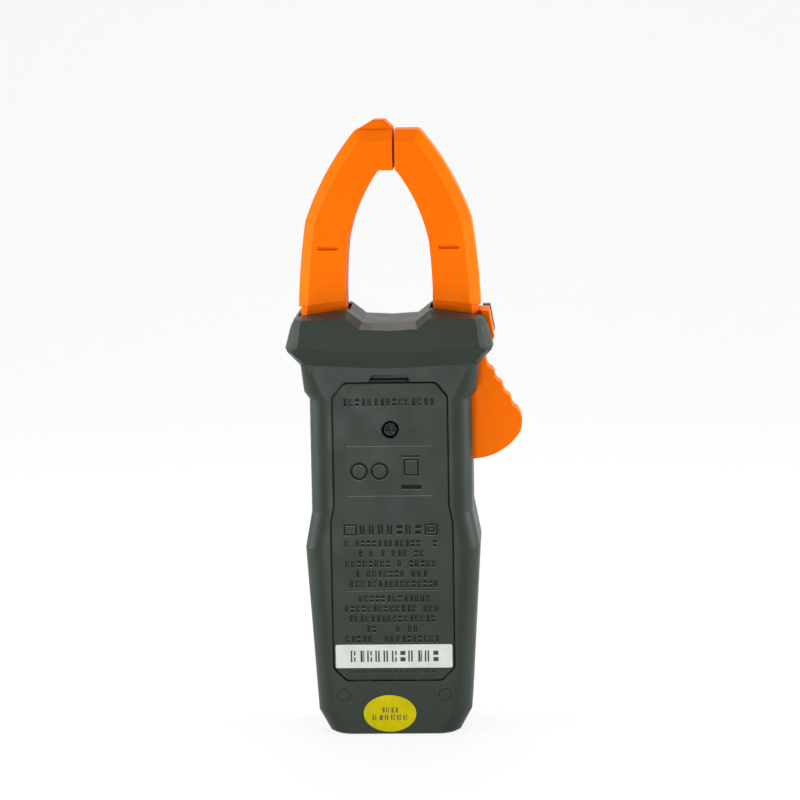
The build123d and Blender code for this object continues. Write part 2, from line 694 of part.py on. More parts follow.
def jaw_shell(fixed, side):
    """One moulded half of a jaw: bevelled band, recessed collar and neck."""
    sign = 1 if fixed else -1
    name = ("fixed" if fixed else "moving") + "_jaw_" + ("rear" if side > 0 else "front")
    with BuildPart() as shell:
        plate(neck_outline(fixed), 0, side * NECK_DEPTH)
        add(bevelled(side, COLLAR_STEP), mode=Mode.INTERSECT)
        add(jaw_body(fixed, side))
        if fixed:
            crown = [(JAW_GAP_X + JAW_GAP / 2, JAW_TOP_Z - 1), (JAW_GAP_X + JAW_GAP / 2, JAW_TOP_Z + 0.5),
                     (JAW_GAP_X + 3.1, JAW_TOP_Z + BUMP_HEIGHT), (JAW_GAP_X + 6.8, JAW_TOP_Z + BUMP_HEIGHT),
                     (JAW_GAP_X + 11.9, JAW_TOP_Z), (JAW_GAP_X + 11.9, JAW_TOP_Z - 1)]
            plate(crown, 0, side * BUMP_DEPTH)
        # hollow for the core and the coil
        add(jaw_band(fixed, 0, side * (JAW_DEPTH - JAW_WALL), JAW_WALL + 0.6, JAW_WALL, JAW_WALL / 2,
                     (COLLAR_OUT_Z - 6, COLLAR_IN_Z - 6)), mode=Mode.SUBTRACT)
        if fixed:
            inner = [(JAW_NECK_IN + JAW_WALL, FIXED_NECK_Z - 1),
                     (JAW_NECK_OUT - JAW_WALL - 2, FIXED_NECK_Z - 1),
                     (JAW_NECK_OUT - JAW_WALL, FIXED_NECK_Z + 6), (JAW_NECK_OUT - JAW_WALL, COLLAR_OUT_Z + 4),
                     (JAW_NECK_IN + JAW_WALL, COLLAR_OUT_Z + 4)]
            plate(inner, 0, side * EAR_DEPTH, mode=Mode.SUBTRACT)
            block((JAW_NECK_IN - 1, JAW_NECK_IN + 3), (0, side * (CORE_DEPTH + 0.5)),
                  (FIXED_NECK_Z - 1, CORE_FOOT_Z + 0.3), mode=Mode.SUBTRACT)
        else:
            lever_room = [(-JAW_NECK_OUT - 1, PIVOT_Z - 8), (-JAW_NECK_IN + 1, PIVOT_Z - 8),
                          (-JAW_NECK_IN + 1, CORE_FOOT_Z + 0.3), (-JAW_NECK_IN - JAW_WALL, CORE_FOOT_Z + 0.3),
                          (-JAW_NECK_IN - JAW_WALL, COLLAR_OUT_Z + 4),
                          (-JAW_NECK_OUT + JAW_WALL, COLLAR_OUT_Z + 4),
                          (-JAW_NECK_OUT + JAW_WALL, LEVER_TOP_Z + 0.3),
                          (-JAW_NECK_OUT - 1, LEVER_TOP_Z + 0.3)]
            plate(lever_room, 0, side * EAR_DEPTH, mode=Mode.SUBTRACT)
            disc(PIVOT_X, PIVOT_Z, BUSH_R + 0.05, 0, side * (NECK_DEPTH + 1), mode=Mode.SUBTRACT)
        mark = side * (JAW_DEPTH - MARK_DEPTH)
        with BuildSketch(across(max(mark, side * (JAW_DEPTH + 1)))) as slit:
            with Locations((sign * MARK_X, MARK_Z)):
                SlotOverall(MARK_LENGTH, MARK_WIDTH)
        extrude(slit.sketch, amount=1 + MARK_DEPTH, dir=FORWARD, mode=Mode.SUBTRACT)
    return shell, name


def core_band(fixed):
    """Laminated half ring of one jaw."""
    base = (COLLAR_OUT_Z - 8.2, COLLAR_OUT_Z - 8.2)
    return jaw_band(fixed, -CORE_DEPTH, CORE_DEPTH, CORE_OUT_INSET, CORE_IN_GROW, CORE_TIP_WALL, base)


def fixed_core():
    with BuildPart() as core:
        add(core_band(True))
        block((YOKE_END_X, COIL_X + 3.4), (-CORE_DEPTH, CORE_DEPTH), (YOKE_LOW_Z, YOKE_TOP_Z + 1))
        block((YOKE_END_X - 1, JAW_NECK_IN - 3), (-9, 9), (YOKE_TOP_Z, YOKE_TOP_Z + 1), mode=Mode.SUBTRACT)
    return core


def moving_core():
    with BuildPart() as core:
        add(core_band(False))
        block((-COIL_X - 3.4, -JAW_NECK_IN + 0.9), (-CORE_DEPTH, CORE_DEPTH), (YOKE_TOP_Z + 0.3, CORE_FOOT_Z))
    return core


def coil_frame(sign, half, depth, flange):
    """Straight rectangular tube round the core, with a flange at each end if asked."""
    x = sign * COIL_X
    block((x - half, x + half), (-depth, depth), (COIL_LOW_Z, COIL_TOP_Z))
    if flange:
        for z in (COIL_LOW_Z, COIL_TOP_Z - 0.6):
            block((x - half - COIL_BUILD, x + half + COIL_BUILD), (-COIL_DEPTH, COIL_DEPTH), (z, z + 0.6))


def bobbin(sign):
    with BuildPart() as part:
        coil_frame(sign, BOBBIN_HALF, CORE_DEPTH + FIT + BOBBIN_WALL, True)
        x = sign * COIL_X
        inner = BOBBIN_HALF - BOBBIN_WALL
        block((x - inner, x + inner), (-CORE_DEPTH - FIT, CORE_DEPTH + FIT), (COIL_LOW_Z - 1, COIL_TOP_Z + 1),
              mode=Mode.SUBTRACT)
    return part


def winding(sign):
    x = sign * COIL_X
    out = BOBBIN_HALF + COIL_BUILD - 0.1
    inner = BOBBIN_HALF + 0.05
    depth = CORE_DEPTH + FIT + BOBBIN_WALL + 0.05
    with BuildPart() as part:
        block((x - out, x + out), (-COIL_DEPTH + 0.2, COIL_DEPTH - 0.2),
              (COIL_LOW_Z + 0.65, COIL_TOP_Z - 0.65))
        block((x - inner, x + inner), (-depth, depth), (COIL_LOW_Z, COIL_TOP_Z), mode=Mode.SUBTRACT)
    return part


def ncv_antenna():
    """Copper strip of the voltage sensor, inside the raised tip of the fixed jaw."""
    with BuildPart() as part:
        block((JAW_GAP_X + 3, JAW_GAP_X + 8), (-2.5, 2.5),
              (JAW_TOP_Z - JAW_WALL - 1.2, JAW_TOP_Z - JAW_WALL - 0.8))
    return part


# ---------------------------------------------------------------- trigger and pivot
def trigger():
    with BuildPart() as part:
        thumb_top = (-JAW_NECK_OUT - 1.0, NECK_Z + 1.2)
        thumb_low = (-TRIGGER_REACH + 1.0, TRIGGER_TIP_Z + 4.2)
        tip = (-TRIGGER_REACH, TRIGGER_TIP_Z)
        heel = (-TRIGGER_REACH + 1.6, TRIGGER_TIP_Z - 4.0)
        root = (PIVOT_X - 2.5, PIVOT_Z - TRIGGER_R)
        sweep_mid = (-TRIGGER_REACH + 8.8, TRIGGER_TIP_Z - 9.8)
        with BuildSketch(across(LEVER_DEPTH)) as blade:
            with BuildLine():
                Line((PIVOT_X - 3, PIVOT_Z), thumb_top)
                Line(thumb_top, thumb_low)
                ThreePointArc(thumb_low, tip, heel)
                ThreePointArc(heel, sweep_mid, root)
                Polyline(root, (PIVOT_X + 0.5, PIVOT_Z - 13), (PIVOT_X + 1.6, PIVOT_Z - 5),
                         (PIVOT_X + 3, PIVOT_Z - 2), (PIVOT_X - 3, PIVOT_Z))
            make_face()
        extrude(blade.sketch, amount=2 * LEVER_DEPTH, dir=FORWARD)
        disc(PIVOT_X, PIVOT_Z, LEVER_BOSS_R, -LEVER_DEPTH, LEVER_DEPTH)
        # arm that stands in the side slot of the head
        edge = [(-GUARD_HALF + 1.0, GUARD_Z - 1.5), (-GUARD_HALF + 0.4, GUARD_Z + 0.6),
                (-STRIP_HALF, STRIP_LOW_Z), (-HEAD_TOP_HALF - 1.7, LEVER_TOP_Z),
                (-JAW_NECK_OUT - 0.3, LEVER_TOP_Z)]
        arm = [(PIVOT_X - 2, PIVOT_Z + 3), (PIVOT_X - 2, PIVOT_Z - 3), (-GUARD_HALF + 4.1, NECK_Z + 1.6)]
        arm += edge + [(-JAW_NECK_OUT + 3.6, LEVER_TOP_Z - 0.6), (-JAW_NECK_OUT + 3.6, PIVOT_Z + 3)]
        plate(arm, -LEVER_DEPTH, LEVER_DEPTH)
        plate(edge + [(-JAW_NECK_OUT - 0.3, GUARD_Z - 1.5)], -NECK_DEPTH, NECK_DEPTH)
        disc(PIVOT_X, PIVOT_Z, BUSH_R + 0.05, -LEVER_DEPTH - 1, LEVER_DEPTH + 1, mode=Mode.SUBTRACT)
        run_x = thumb_low[0] - thumb_top[0]
        run_z = thumb_low[1] - thumb_top[1]
        length = math.hypot(run_x, run_z)
        normal = (run_z / length, -run_x / length)
        lift = SCALLOP_R - SCALLOP_DEPTH
        for i in range(SCALLOPS):
            share = SCALLOP_FIRST + SCALLOP_PITCH * i
            x = thumb_top[0] + share * run_x + normal[0] * lift
            z = thumb_top[1] + share * run_z + normal[1] * lift
            disc(x, z, SCALLOP_R, -LEVER_DEPTH - 1, LEVER_DEPTH + 1, mode=Mode.SUBTRACT)
    return part


def pivot_pin():
    reach = HEAD_DEPTH - HEAD_WALL - 3.6
    with BuildPart() as part:
        disc(PIVOT_X, PIVOT_Z, PIN_R, -reach, reach)
    return part


def pivot_bush():
    with BuildPart() as part:
        disc(PIVOT_X, PIVOT_Z, BUSH_R, -NECK_DEPTH, NECK_DEPTH)
        disc(PIVOT_X, PIVOT_Z, PIN_R + PIN_FIT, -NECK_DEPTH - 1, NECK_DEPTH + 1, mode=Mode.SUBTRACT)
    return part


def coil_spring(radius, wire, pitch, turns, plane, leg=0.0):
    """Helical spring on a plane, rising along its normal, with a straight leg at its start if asked."""
    height = pitch * turns
    with BuildPart(mode=Mode.PRIVATE) as part:
        with BuildLine() as path:
            Helix(pitch, height, radius)
        with BuildSketch(Plane(path.line @ 0, z_dir=path.line % 0)) as section:
            Circle(wire)
        sweep(section.sketch, path.line, is_frenet=True)
        if leg > 0:
            extrude(section.sketch, amount=-leg)
    return plane.location * part.part


def jaw_spring():
    """Torsion spring round the pivot pin, between the moving jaw and the front boss."""
    start = -NECK_DEPTH - 0.3 - SPRING_WIRE
    plane = Plane(origin=(PIVOT_X, start, PIVOT_Z), x_dir=(1, 0, 0), z_dir=(0, -1, 0))
    coil_pitch = 2 * SPRING_WIRE + 0.1
    with BuildPart() as part:
        add(coil_spring(SPRING_R, SPRING_WIRE, coil_pitch, SPRING_TURNS, plane, leg=5.0))
    return part


# ---------------------------------------------------------------- battery door and bay
def battery_door():
    inner = CASE_DEPTH - DOOR_THICK
    with BuildPart() as part:
        door_plate(-DOOR_GAP, CASE_DEPTH, inner)
        outer = part.faces().sort_by(Axis.Y)[-1]
        fillet(outer.edges(), DOOR_EDGE_R)
        disc(0, SCREW_Z, SCREW_WELL_R + 1.3, inner + 0.1, SEAT_Y - 1.0)
        disc(0, SCREW_Z, SCREW_WELL_R, CASE_DEPTH + 1, CASE_DEPTH - 2.3, mode=Mode.SUBTRACT)
        disc(0, SCREW_Z, SCREW_R + 0.25, CASE_DEPTH, SEAT_Y - 2, mode=Mode.SUBTRACT)
        for x in (-TAB_X, TAB_X):
            block((x - TAB_HALF, x + TAB_HALF), (inner, inner + 0.95),
                  (DOOR_BOTTOM_Z - TAB_LENGTH, DOOR_BOTTOM_Z + 1))
        # ribs that press on the cells
        for x in (-CELL_X, CELL_X):
            for z in (BAY_LOW_Z + 14, BAY_TOP_Z - 14):
                block((x - 3, x + 3), (CELL_Y + CELL_R + 0.15, inner + 0.1), (z - 0.6, z + 0.6))
    return part


def door_screw():
    head_seat = CASE_DEPTH - 2.3
    with BuildPart() as part:
        disc(0, SCREW_Z, SCREW_HEAD_R, head_seat + 1.6, head_seat)
        chamfer(part.faces().sort_by(Axis.Y)[-1].edges(), 0.45)
        disc(0, SCREW_Z, SCREW_R, head_seat + 0.2, SCREW_TIP_Y)
        for long_x, long_z in ((1.6, 0.45), (0.45, 1.6)):
            block((-long_x, long_x), (head_seat + 0.7, head_seat + 2), (SCREW_Z - long_z, SCREW_Z + long_z),
                  mode=Mode.SUBTRACT)
    return part


def door_seal():
    """Thin gasket between the recess floor and the door, round the battery bay."""
    y = (SEAT_Y, CASE_DEPTH - DOOR_THICK)
    hole = BAY_HALF + 0.8
    with BuildPart() as part:
        block((-hole - SEAL_W, hole + SEAL_W), y, (BAY_LOW_Z - 0.4 - SEAL_W, BAY_TOP_Z + 0.8 + SEAL_W))
        block((-hole, hole), (y[0] - 1, y[1] + 1), (BAY_LOW_Z - 0.4, BAY_TOP_Z + 0.8), mode=Mode.SUBTRACT)
    return part


def door_insert():
    """Brass thread insert for the door screw."""
    with BuildPart() as part:
        disc(0, SCREW_Z, INSERT_R - 0.03, SEAT_Y - 1.7, SCREW_TIP_Y - 1.4)
        disc(0, SCREW_Z, SCREW_R + 0.25, SEAT_Y, SCREW_TIP_Y - 0.6, mode=Mode.SUBTRACT)
    return part


def rating_label():
    with BuildPart() as part:
        rounded_plate((-LABEL_HALF, LABEL_HALF), (LABEL_LOW_Z, LABEL_TOP_Z),
                      CASE_DEPTH, CASE_DEPTH + FOIL, 0.6)
    return part


def qc_sticker():
    with BuildPart() as part:
        with BuildSketch(across(CASE_DEPTH + FOIL)) as face:
            with Locations((STICKER_X, STICKER_Z)):
                Ellipse(STICKER_A, STICKER_B)
        extrude(face.sketch, amount=FOIL, dir=FORWARD)
    return part


def battery_tray():
    """Open box that the cells lie in, with a rib between them."""
    out = BAY_HALF
    with BuildPart() as part:
        block((-out, out), (BAY_FLOOR_Y, SEAT_Y - 0.2), (BAY_LOW_Z, BAY_TOP_Z))
        block((-out + BAY_WALL, out - BAY_WALL), (BAY_FLOOR_Y + BAY_WALL, CASE_DEPTH),
              (BAY_LOW_Z + BAY_WALL, BAY_TOP_Z - BAY_WALL), mode=Mode.SUBTRACT)
        block((-0.4, 0.4), (BAY_FLOOR_Y, CELL_Y - 1.5), (BAY_LOW_Z, BAY_TOP_Z))
    return part


def battery(sign):
    """AAA cell; the two lie head to tail."""
    if sign < 0:
        flat_end = BAY_LOW_Z + BAY_WALL + CELL_ROOM
    else:
        flat_end = BAY_TOP_Z - BAY_WALL - CELL_ROOM
    shoulder = flat_end - sign * CELL_LENGTH
    tip = shoulder - sign * CELL_NUB
    with BuildPart() as part:
        post(sign * CELL_X, CELL_Y, CELL_R, min(flat_end, shoulder), max(flat_end, shoulder))
        post(sign * CELL_X, CELL_Y, 1.9, min(shoulder, tip), max(shoulder, tip))
    return part


def battery_springs():
    """Negative contacts: a tapering coil at one end of each cell."""
    length = 1.6
    lift = BAY_WALL + 0.65
    with BuildPart() as part:
        for sign in (-1, 1):
            if sign < 0:
                plane = Plane((sign * CELL_X, CELL_Y, BAY_LOW_Z + lift))
            else:
                plane = Plane((sign * CELL_X, CELL_Y, BAY_TOP_Z - lift), z_dir=(0, 0, -1))
            add(coil_spring(3.0, 0.25, length / 3, 3, plane))
    return part


def battery_plates():
    """Nickel-plated contact plates on the end walls, positive and negative."""
    with BuildPart() as part:
        for sign in (-1, 1):
            x = sign * CELL_X
            for z in (BAY_LOW_Z + BAY_WALL, BAY_TOP_Z - BAY_WALL - 0.3):
                block((x - 4.2, x + 4.2), (CELL_Y - 4, CELL_Y + 4), (z + 0.02, z + 0.28))
    return part


# ---------------------------------------------------------------- fasteners
def case_screws():
    """Four tapping screws driven from the back."""
    with BuildPart() as part:
        for x, z in SCREW_PLACES:
            seat = head_depth_of(z)
            disc(x, z, CASE_HEAD_R, seat + 1.4, seat + 0.02)
            disc(x, z, CASE_SCREW_R, seat + 0.02, -7.5)
            for long_x, long_z in ((1.1, 0.3), (0.3, 1.1)):
                block((x - long_x, x + long_x), (seat + 0.7, seat + 2), (z - long_z, z + long_z),
                      mode=Mode.SUBTRACT)
    return part


def screw_plugs():
    """Round plugs over the two lower screws, standing slightly proud."""
    with BuildPart() as part:
        for x in (-LOW_SCREW_X, LOW_SCREW_X):
            disc(x, LOW_SCREW_Z, PLUG_R, LOW_HEAD_Y + 1.6, CASE_DEPTH + 0.15)
    return part


# ---------------------------------------------------------------- front and display
def display_lens():
    with BuildPart() as part:
        rounded_plate((-LENS_HALF, LENS_HALF), (LENS_LOW_Z, LENS_TOP_Z),
                      -CASE_DEPTH, LENS_THICK - CASE_DEPTH, 1.4)
    return part


def front_panel():
    """Printed fascia over the lens edges, with cut-outs for the display and the buttons."""
    front = -CASE_DEPTH
    with BuildPart() as part:
        rounded_plate((-PANEL_HALF, PANEL_HALF), (PANEL_LOW_Z, PANEL_TOP_Z), front, front - PANEL_THICK, 3.0)
        rounded_plate((-LENS_HALF + VIEW_BORDER, LENS_HALF - VIEW_BORDER),
                      (LENS_LOW_Z + VIEW_BORDER, LENS_TOP_Z - VIEW_BORDER), front + 1, front - 2, 1.5,
                      mode=Mode.SUBTRACT)
        for x in button_columns():
            rounded_plate((x - BUTTON_W / 2 - 0.3, x + BUTTON_W / 2 + 0.3),
                          (BUTTON_Z - BUTTON_H / 2 - 0.3, BUTTON_Z + BUTTON_H / 2 + 0.3),
                          front + 1, front - 2, 1.5, mode=Mode.SUBTRACT)
        disc(0, DIAL_Z, DIAL_R + 1.5, front + 1, front - 2, mode=Mode.SUBTRACT)
    return part


def lcd_panel():
    with BuildPart() as part:
        block((-LCD_HALF, LCD_HALF), (LCD_FRONT_Y, LCD_FRONT_Y + 1.4), (LCD_LOW_Z, LCD_TOP_Z))
    return part


def lcd_frame():
    """Moulded holder that clips the glass and its light guide to the board."""
    out = 1.2
    with BuildPart() as part:
        block((-LCD_HALF - out, LCD_HALF + out), (LCD_FRONT_Y - 0.4, BOARD_REAR_Y - BOARD_THICK - 0.05),
              (LCD_LOW_Z - out, LCD_TOP_Z + out))
        gap = 0.1
        block((-LCD_HALF - gap, LCD_HALF + gap), (LCD_FRONT_Y - 0.05, 0), (LCD_LOW_Z - gap, LCD_TOP_Z + gap),
              mode=Mode.SUBTRACT)
        block((-LCD_HALF + 1.2, LCD_HALF - 1.2), (LCD_FRONT_Y - 2, 0), (LCD_LOW_Z + 1.2, LCD_TOP_Z - 1.2),
              mode=Mode.SUBTRACT)
    return part


def lcd_backlight():
    low = LCD_FRONT_Y + 1.5
    with BuildPart() as part:
        block((-LCD_HALF + 1, LCD_HALF - 1), (low, low + 1.6), (LCD_LOW_Z + 2.6, LCD_TOP_Z - 2.6))
    return part


def zebra_strips():
    """Conductive rubber strips that join the glass to the board."""
    low = LCD_FRONT_Y + 1.45
    high = BOARD_REAR_Y - BOARD_THICK - 0.05
    with BuildPart() as part:
        for z in (LCD_LOW_Z + 0.2, LCD_TOP_Z - 2.2):
            block((-LCD_HALF + 1, LCD_HALF - 1), (low, high), (z, z + 2.0))
    return part


def main_board():
    rear = BOARD_REAR_Y
    with BuildPart() as part:
        block((-BOARD_HALF, BOARD_HALF), (rear - BOARD_THICK, rear), (BOARD_LOW_Z, BOARD_TOP_Z))
        for x, z in SCREW_PLACES:
            disc(x, z, BOSS_R + 0.2, rear + 1, rear - BOARD_THICK - 1, mode=Mode.SUBTRACT)
        disc(0, DIAL_Z, 2.6, rear + 1, rear - BOARD_THICK - 1, mode=Mode.SUBTRACT)
    return part


def board_components():
    """The larger parts soldered to the back of the board."""
    rear = BOARD_REAR_Y + 0.02
    with BuildPart() as part:
        block((-6, 6), (rear, rear + 1.6), (30, 42))
        block((-15, -8), (rear, rear + 1.4), (48, 53))
        block((8, 16), (rear, rear + 2.2), (46, 51))
        for x in (-13, -6, 12):
            disc(x, 26, 2.4, rear, rear + 3.6)
        block((3, 9), (rear, rear + 2.4), (56, 60))
        block((-18, -11), (rear, rear + 3.0), (60, 66))
    return part


def tact_switches():
    front = BOARD_REAR_Y - BOARD_THICK - 0.02
    with BuildPart() as part:
        for x in button_columns():
            block((x - 2.2, x + 2.2), (front - 1.7, front), (BUTTON_Z - 2.2, BUTTON_Z + 2.2))
            disc(x, BUTTON_Z, 1.0, front - 1.65, SWITCH_TIP_Y)
    return part


def buzzer():
    rear = BOARD_REAR_Y + 0.02
    with BuildPart() as part:
        disc(12, 66, 6, rear, rear + 3.4)
        disc(12, 66, 1.0, rear + 2.4, rear + 5, mode=Mode.SUBTRACT)
    return part


def button(x):
    """Cap, flange that holds it behind the front wall, and stem on the switch."""
    front = -CASE_DEPTH - PANEL_THICK
    flange = -CASE_DEPTH + CASE_WALL + 0.1
    with BuildPart() as part:
        rounded_plate((x - BUTTON_W / 2, x + BUTTON_W / 2),
                      (BUTTON_Z - BUTTON_H / 2, BUTTON_Z + BUTTON_H / 2),
                      front - BUTTON_PROUD, flange + 0.2, 1.4)
        fillet(part.faces().sort_by(Axis.Y)[0].edges(), 0.5)
        block((x - BUTTON_W / 2 - 0.9, x + BUTTON_W / 2 + 0.9), (flange, flange + 0.9),
              (BUTTON_Z - BUTTON_H / 2 - 0.9, BUTTON_Z + BUTTON_H / 2 + 0.9))
        disc(x, BUTTON_Z, 1.2, flange + 0.8, STEM_TIP_Y)
    return part


# ---------------------------------------------------------------- rotary switch
def dial_knob():
    """Round selector with a raised grip bar and a hub that passes through the front wall."""
    seat = -CASE_DEPTH - 0.3
    top = seat - DIAL_HEIGHT
    with BuildPart() as part:
        disc(0, DIAL_Z, DIAL_R, seat, seat - 2.6)
        chamfer(part.faces().sort_by(Axis.Y)[0].edges(), 0.8)
        rounded_plate((-4.2, 4.2), (DIAL_Z - DIAL_R + 1.2, DIAL_Z + DIAL_R - 1.2), seat - 2.0, top, 3.6)
        fillet(part.faces().sort_by(Axis.Y)[0].edges(), 1.2)
        disc(0, DIAL_Z, HUB_R, seat - 0.1, ROTOR_FRONT_Y - 0.05)
        block((-0.6, 0.6), (top - 1, top + 1.0), (DIAL_Z + 5, DIAL_Z + DIAL_R), mode=Mode.SUBTRACT)
        groove = DIAL_R * 1.03
        for i in range(KNOB_GROOVES):
            angle = math.tau * i / KNOB_GROOVES
            disc(groove * math.sin(angle), DIAL_Z + groove * math.cos(angle), 0.9, seat + 1, top - 1,
                 mode=Mode.SUBTRACT)
    return part


def dial_pointer():
    """White inlay in the grip bar that points at the chosen range."""
    top = -CASE_DEPTH - 0.3 - DIAL_HEIGHT
    with BuildPart() as part:
        block((-0.55, 0.55), (top, top + 0.95), (DIAL_Z + 5.1, DIAL_Z + DIAL_R - 1.6))
    return part


def dial_rotor():
    """Disc on the hub that carries the sliding contacts."""
    with BuildPart() as part:
        disc(0, DIAL_Z, ROTOR_R, ROTOR_FRONT_Y, ROTOR_REAR_Y)
        for x, z in DETENT_PLACES:
            disc(x, z, 1.15, ROTOR_FRONT_Y - 1, ROTOR_FRONT_Y + 1.5, mode=Mode.SUBTRACT)
        for x, z in WIPER_PLACES:
            block((x - 1.3, x + 1.3), (ROTOR_REAR_Y - 0.5, ROTOR_REAR_Y + 1), (z - 2.0, z + 2.0),
                  mode=Mode.SUBTRACT)
        disc(0, DIAL_Z, 2.4, ROTOR_FRONT_Y, ROTOR_REAR_Y + 2.0)
    return part


def wiper_contacts():
    """Sprung bridge contacts that run on the board's tracks."""
    board_face = BOARD_REAR_Y - BOARD_THICK
    with BuildPart() as part:
        for x, z in WIPER_PLACES:
            block((x - 1.1, x + 1.1), (ROTOR_REAR_Y - 0.4, ROTOR_REAR_Y + 0.3), (z - 1.8, z + 1.8))
            for end in (-1.2, 1.2):
                block((x - 0.8, x + 0.8), (ROTOR_REAR_Y + 0.2, board_face - 0.1),
                      (z + end - 0.3, z + end + 0.3))
    return part


def detent_balls():
    with BuildPart() as part:
        for x, z in DETENT_PLACES:
            with Locations((x, -CASE_DEPTH + CASE_WALL + 1.15, z)):
                Sphere(1.05)
    return part


def detent_springs():
    """Short coils under the detent balls."""
    with BuildPart() as part:
        for x, z in DETENT_PLACES:
            disc(x, z, 0.7, ROTOR_FRONT_Y + 1.45, -CASE_DEPTH + CASE_WALL + 2.25)
    return part


def dial_clip():
    """Retaining ring on the hub, behind the front wall."""
    wall = -CASE_DEPTH + CASE_WALL
    with BuildPart() as part:
        disc(0, DIAL_Z, HUB_R + 1.4, wall + 0.3, wall + 0.9)
        disc(0, DIAL_Z, HUB_R + 0.02, wall, wall + 2, mode=Mode.SUBTRACT)
        block((-1.5, 1.5), (wall, wall + 2), (DIAL_Z - 10, DIAL_Z), mode=Mode.SUBTRACT)
    return part


# ---------------------------------------------------------------- input jacks
def jack_insulator(sign):
    """Moulded shroud round one input contact."""
    x = sign * JACK_X
    with BuildPart() as part:
        post(x, 0, JACK_R, 0.2, JACK_WELL + JACK_LENGTH - 2)
        post(x, 0, JACK_MOUTH_R, 0, JACK_WELL, mode=Mode.SUBTRACT)
        post(x, 0, JACK_CONTACT_R + 0.02, JACK_WELL - 1, JACK_WELL + JACK_LENGTH, mode=Mode.SUBTRACT)
    return part


def jack_contacts():
    """Brass sockets for 4 mm plugs, each with a tail soldered to the board."""
    with BuildPart() as part:
        for sign in (-1, 1):
            x = sign * JACK_X
            post(x, 0, JACK_CONTACT_R, JACK_WELL, JACK_WELL + JACK_LENGTH + 1.5)
            post(x, 0, JACK_BORE_R, JACK_WELL - 1, JACK_WELL + JACK_LENGTH, mode=Mode.SUBTRACT)
            top = JACK_WELL + JACK_LENGTH + 1.5
            block((x - 1, x + 1), (BOARD_REAR_Y + 0.05, -1), (top - 1.2, top))
    return part


# ---------------------------------------------------------------- write every piece
NAMED = {
    "rear_case": rear_case,
    "front_case": front_case,
    "fixed_core": fixed_core,
    "moving_core": moving_core,
    "ncv_antenna": ncv_antenna,
    "trigger": trigger,
    "pivot_pin": pivot_pin,
    "pivot_bush": pivot_bush,
    "jaw_spring": jaw_spring,
    "battery_door": battery_door,
    "door_screw": door_screw,
    "door_seal": door_seal,
    "door_insert": door_insert,
    "rating_label": rating_label,
    "qc_sticker": qc_sticker,
    "battery_tray": battery_tray,
    "battery_springs": battery_springs,
    "battery_plates": battery_plates,
    "case_screws": case_screws,
    "screw_plugs": screw_plugs,
    "display_lens": display_lens,
    "front_panel": front_panel,
    "lcd_panel": lcd_panel,
    "lcd_frame": lcd_frame,
    "lcd_backlight": lcd_backlight,
    "zebra_strips": zebra_strips,
    "main_board": main_board,
    "board_components": board_components,
    "tact_switches": tact_switches,
    "buzzer": buzzer,
    "dial_knob": dial_knob,
    "dial_pointer": dial_pointer,
    "dial_rotor": dial_rotor,
    "wiper_contacts": wiper_contacts,
    "detent_balls": detent_balls,
    "detent_springs": detent_springs,
    "dial_clip": dial_clip,
    "jack_contacts": jack_contacts,
}
for node, make in NAMED.items():
    save(make(), node)

for sign, hand in ((1, "fixed"), (-1, "moving")):
    save(bobbin(sign), f"{hand}_bobbin")
    save(winding(sign), f"{hand}_coil")
    for side in (-1, 1):
        save(*jaw_shell(sign > 0, side))

save(battery(-1), "battery_left")
save(battery(1), "battery_right")
save(jack_insulator(-1), "jack_insulator_volts")
save(jack_insulator(1), "jack_insulator_com")
for number, column in enumerate(button_columns(), start=1):
    save(button(column), f"button_{number}")
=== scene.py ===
# %% [markdown]
# # A clamp meter, seen from behind
#
# The moulded housing, the jaws and everything that moves come from the imported model. This lesson gives each
# of them its finish, adds the print, the door's marks in painted shade and highlight and the display that the
# eye looks for, and lights the meter on a plain white table.

# %% Load the frame
import math

import bmesh
import bpy
from mathutils import Matrix, Vector


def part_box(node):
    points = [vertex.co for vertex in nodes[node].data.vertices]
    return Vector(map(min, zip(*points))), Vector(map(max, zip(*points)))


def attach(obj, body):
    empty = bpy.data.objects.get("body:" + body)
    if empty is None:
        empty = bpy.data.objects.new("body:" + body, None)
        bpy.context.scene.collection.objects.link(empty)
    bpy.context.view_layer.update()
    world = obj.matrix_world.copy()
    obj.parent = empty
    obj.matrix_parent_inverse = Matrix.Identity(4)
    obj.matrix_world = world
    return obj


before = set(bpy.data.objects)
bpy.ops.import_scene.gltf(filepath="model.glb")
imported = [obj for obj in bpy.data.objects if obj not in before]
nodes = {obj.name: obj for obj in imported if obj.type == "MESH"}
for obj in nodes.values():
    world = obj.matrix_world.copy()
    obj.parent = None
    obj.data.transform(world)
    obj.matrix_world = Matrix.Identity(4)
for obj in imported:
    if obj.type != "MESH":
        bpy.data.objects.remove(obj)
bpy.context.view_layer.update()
MM = 0.001

# %% [markdown]
# Every colour is written as the sRGB hex value that a picture editor would show. Shaders work in linear
# light, so one function turns a hex value into linear numbers. A second one adds a node, applies its settings
# and joins its links in one go, which keeps each tree short enough to read at a glance. It serves materials
# and Geometry Nodes alike.

# %% Colour and node helpers
def linear(hex_code):
    """Linear colour of an sRGB hex value."""
    parts = [int(hex_code[i:i + 2], 16) / 255 for i in (1, 3, 5)]
    return [c / 12.92 if c <= 0.04045 else ((c + 0.055) / 1.055) ** 2.4 for c in parts] + [1.0]


def add_node(tree, kind, settings=None, **inputs):
    """Adds a node. Inputs are named, or numbered as _0, _1; each is a value or a socket to link from."""
    node = tree.nodes.new(kind)
    for name, value in (settings or {}).items():
        setattr(node, name, value)
    for name, value in inputs.items():
        socket = node.inputs[int(name[1:])] if name[0] == "_" else node.inputs[name.replace("_", " ")]
        if isinstance(value, bpy.types.NodeSocket):
            tree.links.new(value, socket)
        else:
            socket.default_value = value
    return node


